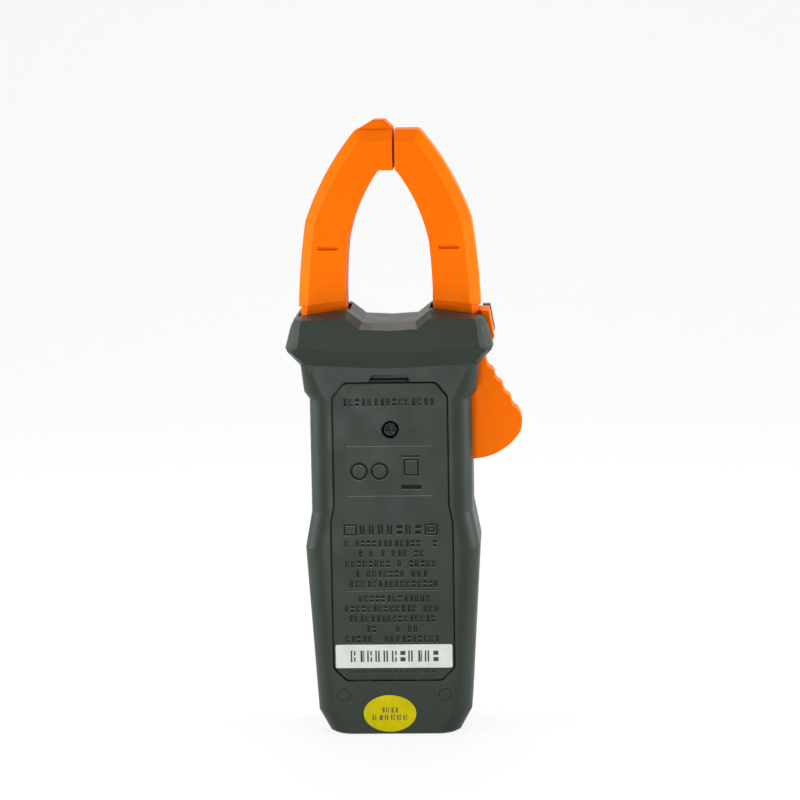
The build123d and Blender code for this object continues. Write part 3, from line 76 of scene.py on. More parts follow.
def new_material(name, **principled):
    """A material with one Principled shader. Returns the material, its tree and the shader."""
    material = bpy.data.materials.new(name)
    material.use_nodes = True
    tree = material.node_tree
    tree.nodes.clear()
    shader = add_node(tree, "ShaderNodeBsdfPrincipled", **principled)
    add_node(tree, "ShaderNodeOutputMaterial", Surface=shader.outputs["BSDF"])
    return material, tree, shader


def per_metre(size_mm):
    """Texture scale for a pattern whose features have this real size."""
    return 1.0 / (size_mm * MM)


def mottled(tree, place, size_mm, low, high, detail=3.0):
    """Noise of a real size, spread to run from low to high."""
    noise = add_node(tree, "ShaderNodeTexNoise", Vector=place, Scale=per_metre(size_mm), Detail=detail)
    spread = add_node(tree, "ShaderNodeMapRange", Value=noise.outputs["Fac"], From_Min=0.35, From_Max=0.65,
                      To_Min=low, To_Max=high)
    return spread.outputs["Result"]


def two_tones(tree, factor, tone_a, tone_b):
    """Mix of two hex colours."""
    return add_node(tree, "ShaderNodeMix", {"data_type": "RGBA"}, _0=factor, _6=linear(tone_a),
                    _7=linear(tone_b)).outputs[2]


# %% [markdown]
# The housing and the jaws are ABS, injection moulded. The housing's tool is spark eroded, which prints a
# fine even grain on the plastic: it breaks up reflections and leaves a soft sheen at grazing angles. The
# jaws' tool is smoother, so they look satin. The true grain is about 0.1 mm and would not show, so it is
# drawn at 0.4 mm. A faint large mottle stands for handling. The Bevel node rounds the shading of each moulded
# edge, by 0.4 mm on the housing and 0.7 mm on the jaws, since no moulding has a knife edge.

# %% Injection-moulded ABS
def moulded_abs(name, tone_a, tone_b, roughness, grain_um, edge_mm=0.4, gloss=0.5, grain_mm=0.4):
    """ABS from a mould: two near tones, satin sheen, fine grain of this height, soft edges."""
    material, tree, shader = new_material(name, IOR=1.53)
    shader.inputs["Specular IOR Level"].default_value = gloss
    place = add_node(tree, "ShaderNodeTexCoord").outputs["Object"]
    tone = two_tones(tree, mottled(tree, place, 25, 0, 1), tone_a, tone_b)
    tree.links.new(tone, shader.inputs["Base Color"])
    rough = mottled(tree, place, 9, roughness - 0.04, roughness + 0.04)
    tree.links.new(rough, shader.inputs["Roughness"])
    edge = add_node(tree, "ShaderNodeBevel", {"samples": 6}, Radius=edge_mm * MM)
    grain = add_node(tree, "ShaderNodeTexNoise", Vector=place, Scale=per_metre(grain_mm), Detail=2.0)
    bump = add_node(tree, "ShaderNodeBump", Height=grain.outputs["Fac"], Strength=1.0,
                    Distance=grain_um * 1e-6, Normal=edge.outputs["Normal"])
    tree.links.new(bump.outputs["Normal"], shader.inputs["Normal"])
    return material


case_abs = moulded_abs("case_ABS_spark_eroded", "#28322a", "#242d26", 0.42, 14, gloss=0.2)
door_abs = moulded_abs("door_ABS_spark_eroded", "#29322b", "#252d26", 0.44, 14, edge_mm=0.25, gloss=0.18)
# Painted shade and painted highlight: dark and pale copies of the door plastic draw the engraved marks.
painted_shade_abs = moulded_abs("door_ABS_groove_in_shade", "#1c231d", "#181e19", 0.6, 6, edge_mm=0.02, gloss=0.05)
painted_highlight_abs = moulded_abs("door_ABS_groove_lit_lip", "#545e56", "#4a544c", 0.45, 6, edge_mm=0.02, gloss=0.3)
jaw_abs = moulded_abs("jaw_ABS_satin", "#ff7500", "#fd7100", 0.45, 5, edge_mm=0.7, gloss=0.03)
knob_abs = moulded_abs("knob_ABS_fine_matt", "#202422", "#252a27", 0.4, 10)
white_abs = moulded_abs("bezel_ABS_white", "#e3e4df", "#dcddd6", 0.45, 6)
pointer_abs = moulded_abs("pointer_ABS_white_inlay", "#eceee9", "#e4e6df", 0.4, 4, edge_mm=0.15)
nylon = moulded_abs("bobbin_nylon_moulded", "#d9d5c6", "#cfc9b6", 0.5, 6)
print("moulded plastics:", len(bpy.data.materials))

# %% [markdown]
# Metals come next. A turned or drawn part keeps fine lines from the tool along its axis, a black-oxide screw
# is dark with a slight oily sheen, and laminated silicon steel shows the edges of its 0.35 mm sheets. Each is
# a full metal with the default IOR; only its tone, roughness and line pattern differ.

# %% Metals
def worked_metal(name, tone_a, tone_b, roughness, line_mm, stretch=(1, 1, 1), line_um=6):
    """Metal with tool marks: noise drawn out along the axes given by stretch."""
    material, tree, shader = new_material(name, Metallic=1.0)
    place = add_node(tree, "ShaderNodeTexCoord").outputs["Object"]
    drawn = add_node(tree, "ShaderNodeMapping", Vector=place, Scale=stretch)
    tone = two_tones(tree, mottled(tree, place, 3, 0, 1), tone_a, tone_b)
    tree.links.new(tone, shader.inputs["Base Color"])
    rough = mottled(tree, drawn.outputs["Vector"], line_mm, roughness - 0.06, roughness + 0.08)
    tree.links.new(rough, shader.inputs["Roughness"])
    marks = add_node(tree, "ShaderNodeTexNoise", Vector=drawn.outputs["Vector"], Scale=per_metre(line_mm))
    bump = add_node(tree, "ShaderNodeBump", Height=marks.outputs["Fac"], Distance=line_um * 1e-6)
    tree.links.new(bump.outputs["Normal"], shader.inputs["Normal"])
    return material


black_screw = worked_metal("screw_steel_black_oxide", "#131514", "#232625", 0.38, 0.5)
bright_steel = worked_metal("pin_steel_ground", "#b9bcbf", "#a6a9ad", 0.25, 0.2, (1, 12, 1))
spring_steel = worked_metal("spring_steel_drawn", "#8d9196", "#767a80", 0.3, 0.2)
core_steel = worked_metal("core_silicon_steel_laminated", "#85888b", "#6d7073", 0.42, 0.35,
                          (0.02, 1, 0.02), 20)
nickel = worked_metal("contact_nickel_plate", "#c8c3b5", "#b7b1a2", 0.28, 0.3)
brass = worked_metal("insert_brass_turned", "#cfa75a", "#b98f45", 0.26, 0.15, (1, 8, 1))
copper = worked_metal("winding_copper_enamelled", "#b4673a", "#99502b", 0.3, 0.25, (0.05, 0.05, 1), 25)

# %% [markdown]
# The rest is sheet and film: glass-fibre board under green solder mask, black epoxy chip packages, silicone
# keys with a dusty bloom, polyester film for the fascia, paper-white polyester for the label, gloss vinyl for
# the round sticker and the shrink film round the cells. They differ in tone, sheen and how even they are, so
# one function with a mottle and a fine bump serves for all of them.

# %% Films, rubbers and boards
def soft_sheet(name, tone_a, tone_b, roughness, mottle_mm, bump_um=4, texture_mm=0.5, gloss=0.5, **extra):
    """Film, rubber or board: two tones, a mottle and a fine texture."""
    material, tree, shader = new_material(name, **extra)
    shader.inputs["Specular IOR Level"].default_value = gloss
    place = add_node(tree, "ShaderNodeTexCoord").outputs["Object"]
    tone = two_tones(tree, mottled(tree, place, mottle_mm, 0, 1), tone_a, tone_b)
    tree.links.new(tone, shader.inputs["Base Color"])
    rough = mottled(tree, place, mottle_mm, roughness - 0.04, roughness + 0.05)
    tree.links.new(rough, shader.inputs["Roughness"])
    fine = add_node(tree, "ShaderNodeTexNoise", Vector=place, Scale=per_metre(texture_mm), Detail=2.0)
    bump = add_node(tree, "ShaderNodeBump", Height=fine.outputs["Fac"], Distance=bump_um * 1e-6)
    tree.links.new(bump.outputs["Normal"], shader.inputs["Normal"])
    return material


label_film = soft_sheet("label_polyester_matt_white", "#d3d7d0", "#cbcfc8", 0.5, 6, 3, gloss=0.3)
sticker_vinyl = soft_sheet("sticker_vinyl_yellow", "#cdc100", "#bfb200", 0.35, 5, 3, gloss=0.06)
black_ink = soft_sheet("ink_black_printed", "#1b1c1a", "#262724", 0.55, 1.5, 2, 0.2)
pale_ink = soft_sheet("ink_pale_grey_printed", "#c9cdc8", "#bfc3bd", 0.5, 1.5, 2, 0.2)
orange_ink = soft_sheet("ink_orange_printed", "#ff7a10", "#f27000", 0.5, 1.5, 2, 0.2)
panel_film = soft_sheet("fascia_polyester_film_velvet", "#1b1e20", "#202426", 0.38, 4, 6, 0.3)
key_silicone = soft_sheet("key_silicone_moulded", "#5a605d", "#525854", 0.6, 2.5, 8, 0.3,
                          Sheen_Weight=0.2, Sheen_Roughness=0.5)
seal_rubber = soft_sheet("seal_rubber_moulded", "#1a1b1c", "#222425", 0.7, 3, 10, 0.4)
zebra_rubber = soft_sheet("strip_rubber_carbon_filled", "#1d1d20", "#2a2a2e", 0.6, 0.3, 6, 0.1)
board_mask = soft_sheet("board_epoxy_glass_green_mask", "#1f5a37", "#1a4c2e", 0.35, 3, 12, 0.5)
chip_epoxy = soft_sheet("chip_epoxy_moulded", "#1b1c1e", "#26282a", 0.5, 1, 5, 0.2)
light_guide = soft_sheet("light_guide_acrylic_frosted", "#e9eff1", "#dde6ea", 0.4, 4, 4, 0.3)
cell_jacket = soft_sheet("cell_jacket_shrink_film", "#23292b", "#2d3437", 0.25, 6, 3, 0.6)
lcd_glass = soft_sheet("display_liquid_crystal_grey_green", "#a4ac97", "#9ca58f", 0.25, 8, 1, 0.5)
segment_ink = soft_sheet("display_segment_dark", "#23281f", "#2b3027", 0.3, 3, 1, 0.4)
lens_acrylic = soft_sheet("lens_acrylic_clear", "#9fb0b0", "#96a8a8", 0.06, 20, 1, 2.0, Alpha=0.14, IOR=1.49)
print("materials in all:", len(bpy.data.materials))

# %% [markdown]
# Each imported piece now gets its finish. The list goes from the finish to the pieces that share it, so a
# change of plastic is one line.

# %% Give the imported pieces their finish
FINISHES = {
    case_abs: ["rear_case", "front_case", "screw_plugs"],
    door_abs: ["battery_door"],
    jaw_abs: ["fixed_jaw_rear", "fixed_jaw_front", "moving_jaw_rear", "moving_jaw_front", "trigger"],
    knob_abs: ["dial_knob", "jack_insulator_com", "battery_tray"],
    pointer_abs: ["dial_pointer"],
    white_abs: ["lcd_frame", "dial_rotor"],
    nylon: ["fixed_bobbin", "moving_bobbin"],
    black_screw: ["door_screw", "case_screws"],
    bright_steel: ["pivot_pin", "dial_clip", "detent_balls"],
    spring_steel: ["jaw_spring", "detent_springs"],
    core_steel: ["fixed_core", "moving_core"],
    nickel: ["battery_springs", "battery_plates", "jack_contacts", "wiper_contacts"],
    brass: ["door_insert", "pivot_bush"],
    copper: ["fixed_coil", "moving_coil", "ncv_antenna"],
    label_film: ["rating_label"],
    sticker_vinyl: ["qc_sticker"],
    panel_film: ["front_panel"],
    key_silicone: ["button_1", "button_2", "button_3", "button_4"],
    seal_rubber: ["door_seal"],
    zebra_rubber: ["zebra_strips"],
    board_mask: ["main_board"],
    chip_epoxy: ["board_components", "tact_switches", "buzzer"],
    light_guide: ["lcd_backlight"],
    cell_jacket: ["battery_left", "battery_right"],
    lcd_glass: ["lcd_panel"],
    lens_acrylic: ["display_lens"],
}
red_jack = moulded_abs("jack_ABS_red", "#b3251c", "#a62018", 0.4, 6)
FINISHES[red_jack] = ["jack_insulator_volts"]
finished = set()
for material, names in FINISHES.items():
    for name in names:
        for slot in nodes[name].material_slots:
            slot.material = material
        finished.add(name)
print("pieces with a finish:", len(finished), "left over:", sorted(set(nodes) - finished))

# %% [markdown]
# The door and the label carry rows of small characters. Nothing here should be readable, so each character is
# a plain mark: two bars, two stacked blocks, a bar beside two short ones, or a thick and a thin bar. A row is
# the same thing over and over along a line, which is what Geometry Nodes do best: points on a line, some left
# out as word spaces, and one of four marks on each. One tree with named sizes serves the door, the label and
# the sticker.

# %% A tree for one row of marks
def tree_inputs(name, sockets):
    """New Geometry Nodes tree with these inputs and a Geometry output. Returns it with both end nodes."""
    tree = bpy.data.node_groups.new(name, "GeometryNodeTree")
    for socket, kind in sockets:
        tree.interface.new_socket(socket, in_out="INPUT", socket_type="NodeSocket" + kind)
    tree.interface.new_socket("Geometry", in_out="OUTPUT", socket_type="NodeSocketGeometry")
    given = tree.nodes.new("NodeGroupInput")
    result = tree.nodes.new("NodeGroupOutput")
    return tree, given, result


def strokes(tree, boxes):
    """One mark as an instance, from boxes given as (x, y, width, height) in a unit square."""
    join = tree.nodes.new("GeometryNodeJoinGeometry")
    for x, y, width, height in boxes:
        cube = add_node(tree, "GeometryNodeMeshCube", Size=(width, height, 1.0))
        moved = add_node(tree, "GeometryNodeTransform", Geometry=cube.outputs["Mesh"],
                         Translation=(x, y, 0.5))
        tree.links.new(moved.outputs["Geometry"], join.inputs["Geometry"])
    return add_node(tree, "GeometryNodeGeometryToInstance", _0=join.outputs["Geometry"]).outputs[0]


THIN = 0.24
MARKS = [
    [(-0.32, 0, THIN, 1), (0.12, 0, THIN, 1)],
    [(0, 0.28, 0.8, 0.36), (0, -0.28, 0.8, 0.36)],
    [(-0.3, 0, THIN, 1), (0.2, 0.28, THIN, 0.4), (0.2, -0.28, THIN, 0.4)],
    [(0, 0, 0.34, 1), (0.34, 0, 0.14, 1)],
]
row_tree, given, result = tree_inputs("row_of_marks", [
    ("Row Width", "Float"), ("Marks", "Int"), ("Mark Height", "Float"), ("Relief", "Float"),
    ("Word Spaces", "Float"), ("Seed", "Int"), ("Material", "Material")])
pitch = add_node(row_tree, "ShaderNodeMath", {"operation": "DIVIDE"}, _0=given.outputs["Row Width"],
                 _1=given.outputs["Marks"])
half = add_node(row_tree, "ShaderNodeMath", {"operation": "MULTIPLY_ADD"}, _0=given.outputs["Row Width"],
                _1=-0.5)
row_tree.links.new(add_node(row_tree, "ShaderNodeMath", {"operation": "MULTIPLY"}, _0=pitch.outputs[0],
                            _1=0.5).outputs[0], half.inputs[2])
start = add_node(row_tree, "ShaderNodeCombineXYZ", X=half.outputs[0])
step = add_node(row_tree, "ShaderNodeCombineXYZ", X=pitch.outputs[0])
line = add_node(row_tree, "GeometryNodeMeshLine", Count=given.outputs["Marks"],
                Start_Location=start.outputs[0], Offset=step.outputs[0])
spaces = add_node(row_tree, "FunctionNodeRandomValue", {"data_type": "BOOLEAN"},
                  Probability=given.outputs["Word Spaces"], Seed=given.outputs["Seed"])
words = add_node(row_tree, "GeometryNodeDeleteGeometry", {"domain": "POINT"}, Geometry=line.outputs["Mesh"],
                 Selection=spaces.outputs[3])
shapes = row_tree.nodes.new("GeometryNodeJoinGeometry")
for boxes in reversed(MARKS):
    row_tree.links.new(strokes(row_tree, boxes), shapes.inputs["Geometry"])
choice = add_node(row_tree, "FunctionNodeRandomValue", {"data_type": "INT"}, Seed=given.outputs["Seed"])
choice.inputs[4].default_value = 0
choice.inputs[5].default_value = len(MARKS) - 1
width = add_node(row_tree, "ShaderNodeMath", {"operation": "MULTIPLY"}, _0=pitch.outputs[0], _1=0.78)
size = add_node(row_tree, "ShaderNodeCombineXYZ", X=width.outputs[0], Y=given.outputs["Mark Height"],
                Z=given.outputs["Relief"])
placed = add_node(row_tree, "GeometryNodeInstanceOnPoints", Points=words.outputs[0],
                  Instance=shapes.outputs[0], Pick_Instance=True, Instance_Index=choice.outputs[2],
                  Scale=size.outputs[0])
real = add_node(row_tree, "GeometryNodeRealizeInstances", Geometry=placed.outputs[0])
inked = add_node(row_tree, "GeometryNodeSetMaterial", Geometry=real.outputs[0],
                 Material=given.outputs["Material"])
row_tree.links.new(inked.outputs[0], result.inputs[0])
print("row tree nodes:", len(row_tree.nodes))

# %% [markdown]
# A tree becomes a plain mesh in three moves: put it on an empty object, set its inputs by identifier, and
# read the evaluated result. The mesh is drawn flat in X and Y, then stood up against the face it belongs to.
# The back faces +Y, so its marks run towards -X; the front faces -Y.

# %% From tree to mesh, and on to a face
BACK = Matrix(((-1, 0, 0), (0, 0, 1), (0, 1, 0))).to_4x4()
FRONT = Matrix(((1, 0, 0), (0, 0, -1), (0, 1, 0))).to_4x4()


def grown(tree, **inputs):
    """Mesh that a Geometry Nodes tree makes from these inputs."""
    holder = bpy.data.objects.new("holder", bpy.data.meshes.new("holder"))
    bpy.context.collection.objects.link(holder)
    modifier = holder.modifiers.new("tree", "NODES")
    modifier.node_group = tree
    named = {item.name: item.identifier for item in tree.interface.items_tree if item.in_out == "INPUT"}
    for name, value in inputs.items():
        modifier[named[name.replace("_", " ")]] = value
    evaluated = holder.evaluated_get(bpy.context.evaluated_depsgraph_get())
    mesh = bpy.data.meshes.new_from_object(evaluated)
    holder.modifiers.remove(modifier)
    bpy.data.objects.remove(holder)
    return mesh


def stood(mesh, face, x, y, z):
    """Moves a flat mesh to its place on the back or the front; x, y, z in millimetres."""
    mesh.transform(Matrix.Translation(Vector((x, y, z)) * MM) @ face)
    return mesh


def piece(name, meshes, body, material):
    """Joins meshes into one object that rides on a body."""
    joined = bmesh.new()
    for mesh in meshes:
        joined.from_mesh(mesh)
    data = bpy.data.meshes.new(name)
    joined.to_mesh(data)
    joined.free()
    data.materials.clear()
    data.materials.append(material)
    for face in data.polygons:
        face.material_index = 0
    item = bpy.data.objects.new(name, data)
    bpy.context.collection.objects.link(item)
    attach(item, body)
    return item


def box_mesh(width, height, depth, x=0.0, y=0.0):
    """Flat block in millimetres, drawn in X and Y, standing up from the face."""
    made = bmesh.new()
    bmesh.ops.create_cube(made, size=1.0)
    bmesh.ops.scale(made, vec=(width * MM, height * MM, depth * MM), verts=made.verts)
    bmesh.ops.translate(made, vec=(x * MM, y * MM, depth * MM / 2), verts=made.verts)
    mesh = bpy.data.meshes.new("block")
    made.to_mesh(mesh)
    made.free()
    return mesh


def frame_mesh(width, height, line, depth, x=0.0, y=0.0):
    """Four thin blocks round a rectangle."""
    sides = [box_mesh(width, line, depth, x, y + s * (height - line) / 2) for s in (-1, 1)]
    return sides + [box_mesh(line, height - 2 * line, depth, x + s * (width - line) / 2, y) for s in (-1, 1)]


def ring_mesh(radius, line, depth, x=0.0, y=0.0, steps=40):
    """Flat ring with square edges."""
    made = bmesh.new()
    loops = []
    turns = [math.tau * i / steps for i in range(steps)]
    for r, z in ((radius, 0), (radius, depth), (radius - line, depth), (radius - line, 0)):
        places = [(x + r * math.cos(a), y + r * math.sin(a), z) for a in turns]
        loops.append([made.verts.new(Vector(place) * MM) for place in places])
    for loop, after in zip(loops, loops[1:] + loops[:1]):
        for i in range(steps):
            j = (i + 1) % steps
            made.faces.new((loop[i], loop[j], after[j], after[i]))
    mesh = bpy.data.meshes.new("ring")
    made.to_mesh(mesh)
    made.free()
    return mesh


# %% [markdown]
# The real door's text looks engraved: light from above leaves each stroke in shade and catches its lower lip,
# so a stroke reads as a dark line with a pale thread beneath it. Nothing is cut into the door here. Each
# stroke is a flat inlay in painted shade, and the same stroke in a paler tone, a painted highlight, lies
# under it, moved down by the width of the lip, so the relief is painted shade and light and not depth. Two
# fine lines in the painted highlight tone hold two plain signs, where a real door has its certification
# marks.

# %% Engraved marks on the battery door, in painted shade and highlight
DOOR_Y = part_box("battery_door")[1][1] / MM
INLAY = 0.03             # thickness of an inlay in mm
LIP = 0.2                # width of the lit lip in mm
CENTRE_X = 0.5
ROW_PITCH = 3.45
UPPER_WIDTHS = (31.5, 22.5, 31.0, 24.5, 32.0)
LOWER_WIDTHS = (26.5, 32.0, 29.5, 18.0, 32.0)


def engraved(thickness, drop, material):
    """All the door's marks as meshes on its face, this thick, moved down by drop, in painted shade or
    highlight.
    """
    made = []

    def row(z, width, height, marks, seed, spaces=0.12):
        mesh = grown(row_tree, Row_Width=width * MM, Marks=marks, Mark_Height=height * MM,
                     Relief=thickness * MM, Word_Spaces=spaces, Seed=seed, Material=material)
        made.append(stood(mesh, BACK, CENTRE_X, DOOR_Y, z - drop))

    def sign(meshes, x, z):
        made.extend(stood(mesh, BACK, x, DOOR_Y, z - drop) for mesh in meshes)

    row(113.2, 31.0, 2.6, 15, 3, 0.08)
    sign([ring_mesh(3.0, 0.8, thickness, -3.4), ring_mesh(3.0, 0.8, thickness, 3.4)], 7.2, 90.0)
    sign(frame_mesh(5.0, 5.6, 0.5, thickness, 0, 1.2) + [box_mesh(6.4, 0.5, thickness, 0, 5.0)], -6.8, 90.0)
    sign([box_mesh(6.6, 1.4, thickness)], -6.8, 84.6)
    row(70.2, 21.5, 3.4, 7, 11, 0.0)
    sign(frame_mesh(4.4, 3.8, 0.5, thickness), 13.9, 70.2)
    sign(frame_mesh(4.4, 3.8, 0.5, thickness) + frame_mesh(2.2, 1.9, 0.45, thickness), -13.1, 70.2)
    for group, (top_z, widths) in enumerate(((65.5, UPPER_WIDTHS), (46.7, LOWER_WIDTHS))):
        for i, width in enumerate(widths):
            row(top_z - i * ROW_PITCH, width, 2.4, round(width / 1.9), 20 * group + i + 31)
    sign([box_mesh(31.0, 0.2, thickness)], CENTRE_X, 49.6)
    row(21.6, 30.0, 0.7, 14, 77, 0.0)
    return made


# The pale copy is the painted highlight on each lower lip, and the dark copy is the painted shade in each
# stroke.
piece("door_marks_painted_highlight", engraved(INLAY, LIP, painted_highlight_abs), "door", painted_highlight_abs)
piece("door_marks_painted_shade", engraved(2 * INLAY, 0.0, painted_shade_abs), "door", painted_shade_abs)
# The two fine rules are drawn in the painted highlight tone alone.
rules = [stood(box_mesh(28.5, 0.2, INLAY), BACK, CENTRE_X, DOOR_Y, z) for z in (98.4, 81.6)]
piece("door_fine_rules", rules, "door", painted_highlight_abs)
print("rows engraved:", len(UPPER_WIDTHS) + len(LOWER_WIDTHS) + 3)

# %% [markdown]
# The label is thermal-printed polyester: crisp black marks on matt white. The sticker is gloss vinyl with two
# short rows. Ink has no thickness that shows, so it stands only 0.01 mm proud, enough to be its own surface.

# %% Print on the label and the sticker
INK = 0.012
label_low, label_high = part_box("rating_label")
label_z = (label_low[2] + label_high[2]) / 2 / MM
serial = grown(row_tree, Row_Width=30.5 * MM, Marks=11, Mark_Height=3.9 * MM, Relief=INK * MM,
               Word_Spaces=0.0, Seed=5, Material=black_ink)
piece("label_print", [stood(serial, BACK, -0.2, label_high[1] / MM, label_z)], "door", black_ink)

sticker_low, sticker_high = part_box("qc_sticker")
sticker_x = (sticker_low[0] + sticker_high[0]) / 2 / MM
sticker_z = (sticker_low[2] + sticker_high[2]) / 2 / MM
rows = []
for dz, width, marks, seed in ((1.2, 6.0, 4, 8), (-1.4, 12.4, 6, 9)):
    row = grown(row_tree, Row_Width=width * MM, Marks=marks, Mark_Height=1.75 * MM, Relief=INK * MM,
                Word_Spaces=0.0, Seed=seed, Material=black_ink)
    rows.append(stood(row, BACK, sticker_x, sticker_high[1] / MM, sticker_z + dz))
piece("sticker_print", rows, "housing", black_ink)
print("print centred at z", round(label_z, 1), "and", round(sticker_z, 1), "mm")

# %% [markdown]
# The front is not in view from behind, but it is what a user looks at. The display shows plain segment digits
# on grey-green liquid crystal. Each digit is seven bars; a number lights some of them. The bars lie on the
# glass, under the clear lens.

# %% Display digits
SEGMENTS = {"a": (0, 1, 1), "b": (0.5, 0.5, 0), "c": (0.5, -0.5, 0), "d": (0, -1, 1), "e": (-0.5, -0.5, 0),
            "f": (-0.5, 0.5, 0), "g": (0, 0, 1)}
DIGITS = {"0": "abcdef", "1": "bc", "2": "abged", "4": "fgbc"}
BAR = 1.2                # width of a segment in mm


def digit_mesh(text, x, y, width, height):
    """The lit segments of one digit, flat, in millimetres."""
    bars = []
    for key in DIGITS[text]:
        across_x, up_y, flat = SEGMENTS[key]
        size = (width - BAR * 1.3, BAR) if flat else (BAR, height / 2 - BAR * 1.3)
        bars.append(box_mesh(size[0], size[1], INK, x + across_x * width, y + up_y * height / 2))
    return bars


lcd_low, lcd_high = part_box("lcd_panel")
LCD_Z = (lcd_low[2] + lcd_high[2]) / 2 / MM
digits = []
for place, text in enumerate("0124"):
    digits += digit_mesh(text, -12.5 + place * 8.4, -2.0, 5.2, 11.0)
digits.append(box_mesh(BAR, BAR, INK, -8.3, -8.0))
digits += [box_mesh(3.2, 0.9, INK, x, 9.4) for x in (14.6, 9.6)]
digits += frame_mesh(4.6, 2.4, 0.5, INK, -13.6, 9.4)
placed_digits = [stood(mesh, FRONT, 0, lcd_low[1] / MM, LCD_Z) for mesh in digits]
piece("display_digits", placed_digits, "housing", segment_ink)
print("segments and signs on the display:", len(digits))

# %% [markdown]
# A ring of short printed lines tells the dial's positions. It is one line copied round a circle, so a second
# small tree makes it from its radius, its count and the length and width of the line. The dial's face is the
# case's front, which the display's lens lies flush with.

# %% Ring of lines round the dial
ring_tree, given, result = tree_inputs("ring_of_lines", [
    ("Radius", "Float"), ("Lines", "Int"), ("Line Length", "Float"), ("Line Width", "Float"),
    ("Relief", "Float"), ("Material", "Material")])
circle = add_node(ring_tree, "GeometryNodeMeshCircle", Vertices=given.outputs["Lines"],
                  Radius=given.outputs["Radius"])
outward = add_node(ring_tree, "FunctionNodeAlignEulerToVector", {"axis": "X"},
                   Vector=add_node(ring_tree, "GeometryNodeInputPosition").outputs[0])
line_size = add_node(ring_tree, "ShaderNodeCombineXYZ", X=given.outputs["Line Length"],
                     Y=given.outputs["Line Width"], Z=given.outputs["Relief"])
one_line = add_node(ring_tree, "GeometryNodeMeshCube", Size=line_size.outputs[0])
lines = add_node(ring_tree, "GeometryNodeInstanceOnPoints", Points=circle.outputs[0],
                 Instance=one_line.outputs[0], Rotation=outward.outputs[0])
solid = add_node(ring_tree, "GeometryNodeRealizeInstances", Geometry=lines.outputs[0])
printed = add_node(ring_tree, "GeometryNodeSetMaterial", Geometry=solid.outputs[0],
                   Material=given.outputs["Material"])
ring_tree.links.new(printed.outputs[0], result.inputs[0])

FRONT_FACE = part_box("display_lens")[0][1] / MM
knob_low, knob_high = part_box("dial_knob")
DIAL_Z = (knob_low[2] + knob_high[2]) / 2 / MM
DIAL_R = (knob_high[0] - knob_low[0]) / 2 / MM
ticks = grown(ring_tree, Radius=(DIAL_R + 1.9) * MM, Lines=16, Line_Length=1.4 * MM, Line_Width=0.5 * MM,
              Relief=2 * INK * MM, Material=pale_ink)
piece("dial_marks", [stood(ticks, FRONT, 0, FRONT_FACE, DIAL_Z)], "housing", pale_ink)

# %% [markdown]
# The keys' signs are printed in pale ink: a bar, a ring, a square and a pair of bars. A thin orange line,
# printed on the fascia film, frames the display. Ink is too thin to see from the side, so each is a block
# 0.012 mm high.

# %% Signs on the keys, and a line round the display
KEY_SIGNS = [[box_mesh(3.4, 0.9, INK)], [ring_mesh(1.5, 0.5, INK)], frame_mesh(2.8, 2.8, 0.5, INK),
             [box_mesh(0.8, 2.8, INK, -0.9), box_mesh(0.8, 2.8, INK, 0.9)]]
for number, sign in enumerate(KEY_SIGNS, 1):
    key = f"button_{number}"
    key_low, key_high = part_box(key)
    middle = [(key_low[i] + key_high[i]) / 2 / MM for i in (0, 2)]
    printed_sign = [stood(mesh, FRONT, middle[0], key_low[1] / MM, middle[1]) for mesh in sign]
    piece(f"sign_{key}", printed_sign, key, pale_ink)
lens_low, lens_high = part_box("display_lens")
lens_size = [(lens_high[i] - lens_low[i]) / MM for i in (0, 2)]
lens_z = (lens_low[2] + lens_high[2]) / 2 / MM
film_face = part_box("front_panel")[0][1] / MM
outline = frame_mesh(lens_size[0] + 1.4, lens_size[1] + 1.4, 0.5, INK)
placed_outline = [stood(mesh, FRONT, 0, film_face, lens_z) for mesh in outline]
piece("display_outline", placed_outline, "housing", orange_ink)
print("signs on the keys:", len(KEY_SIGNS))

# %% [markdown]
# The table is a sheet of matt white card that sweeps up behind the meter. It is a real surface, so it takes
# the meter's soft shadow. Rays from the camera, mirrored rays and rays through glass see most of it as plain
# white, which gives the near-white of a studio picture without putting more light on the meter.

# %% Table and backdrop
def sweep_mesh(front=2.0, bend_start=0.7, bend=0.6, top=2.6, half_width=3.0, steps=16):
    """Flat table that turns up into a wall behind the meter (towards -Y)."""
    outline = [(-front, 0.0)]
    for i in range(steps + 1):
        turn = math.pi / 2 * i / steps
        outline.append((bend_start + bend * math.sin(turn), bend * (1 - math.cos(turn))))
    outline.append((bend_start + bend, top))
    made = bmesh.new()
    rows = [[made.verts.new((x, -y, z)) for x in (-half_width, half_width)] for y, z in outline]
    for low_row, high_row in zip(rows, rows[1:]):
        made.faces.new((low_row[0], low_row[1], high_row[1], high_row[0])).smooth = True
    mesh = bpy.data.meshes.new("sweep")
    made.to_mesh(mesh)
    made.free()
    return mesh


sweep = bpy.data.objects.new("sweep", sweep_mesh())
bpy.context.collection.objects.link(sweep)
card, card_tree, card_shader = new_material("table_card_matt_white", Roughness=0.9)
card_shader.inputs["Base Color"].default_value = linear("#f3f3f0")
seen = add_node(card_tree, "ShaderNodeLightPath")
direct = add_node(card_tree, "ShaderNodeMath", {"operation": "MAXIMUM"}, _0=seen.outputs["Is Camera Ray"],
                  _1=seen.outputs["Is Transmission Ray"])
mirrored = add_node(card_tree, "ShaderNodeMath", {"operation": "MAXIMUM"}, _0=direct.outputs[0],
                    _1=seen.outputs["Is Glossy Ray"])
share = add_node(card_tree, "ShaderNodeMath", {"operation": "MULTIPLY"}, _0=mirrored.outputs[0], _1=0.85)
white = add_node(card_tree, "ShaderNodeEmission", Color=(1, 1, 1, 1), Strength=1.0)
blend = add_node(card_tree, "ShaderNodeMixShader", _0=share.outputs[0], _1=card_shader.outputs[0],
                 _2=white.outputs[0])
card_out = next(n for n in card_tree.nodes if n.type == "OUTPUT_MATERIAL")
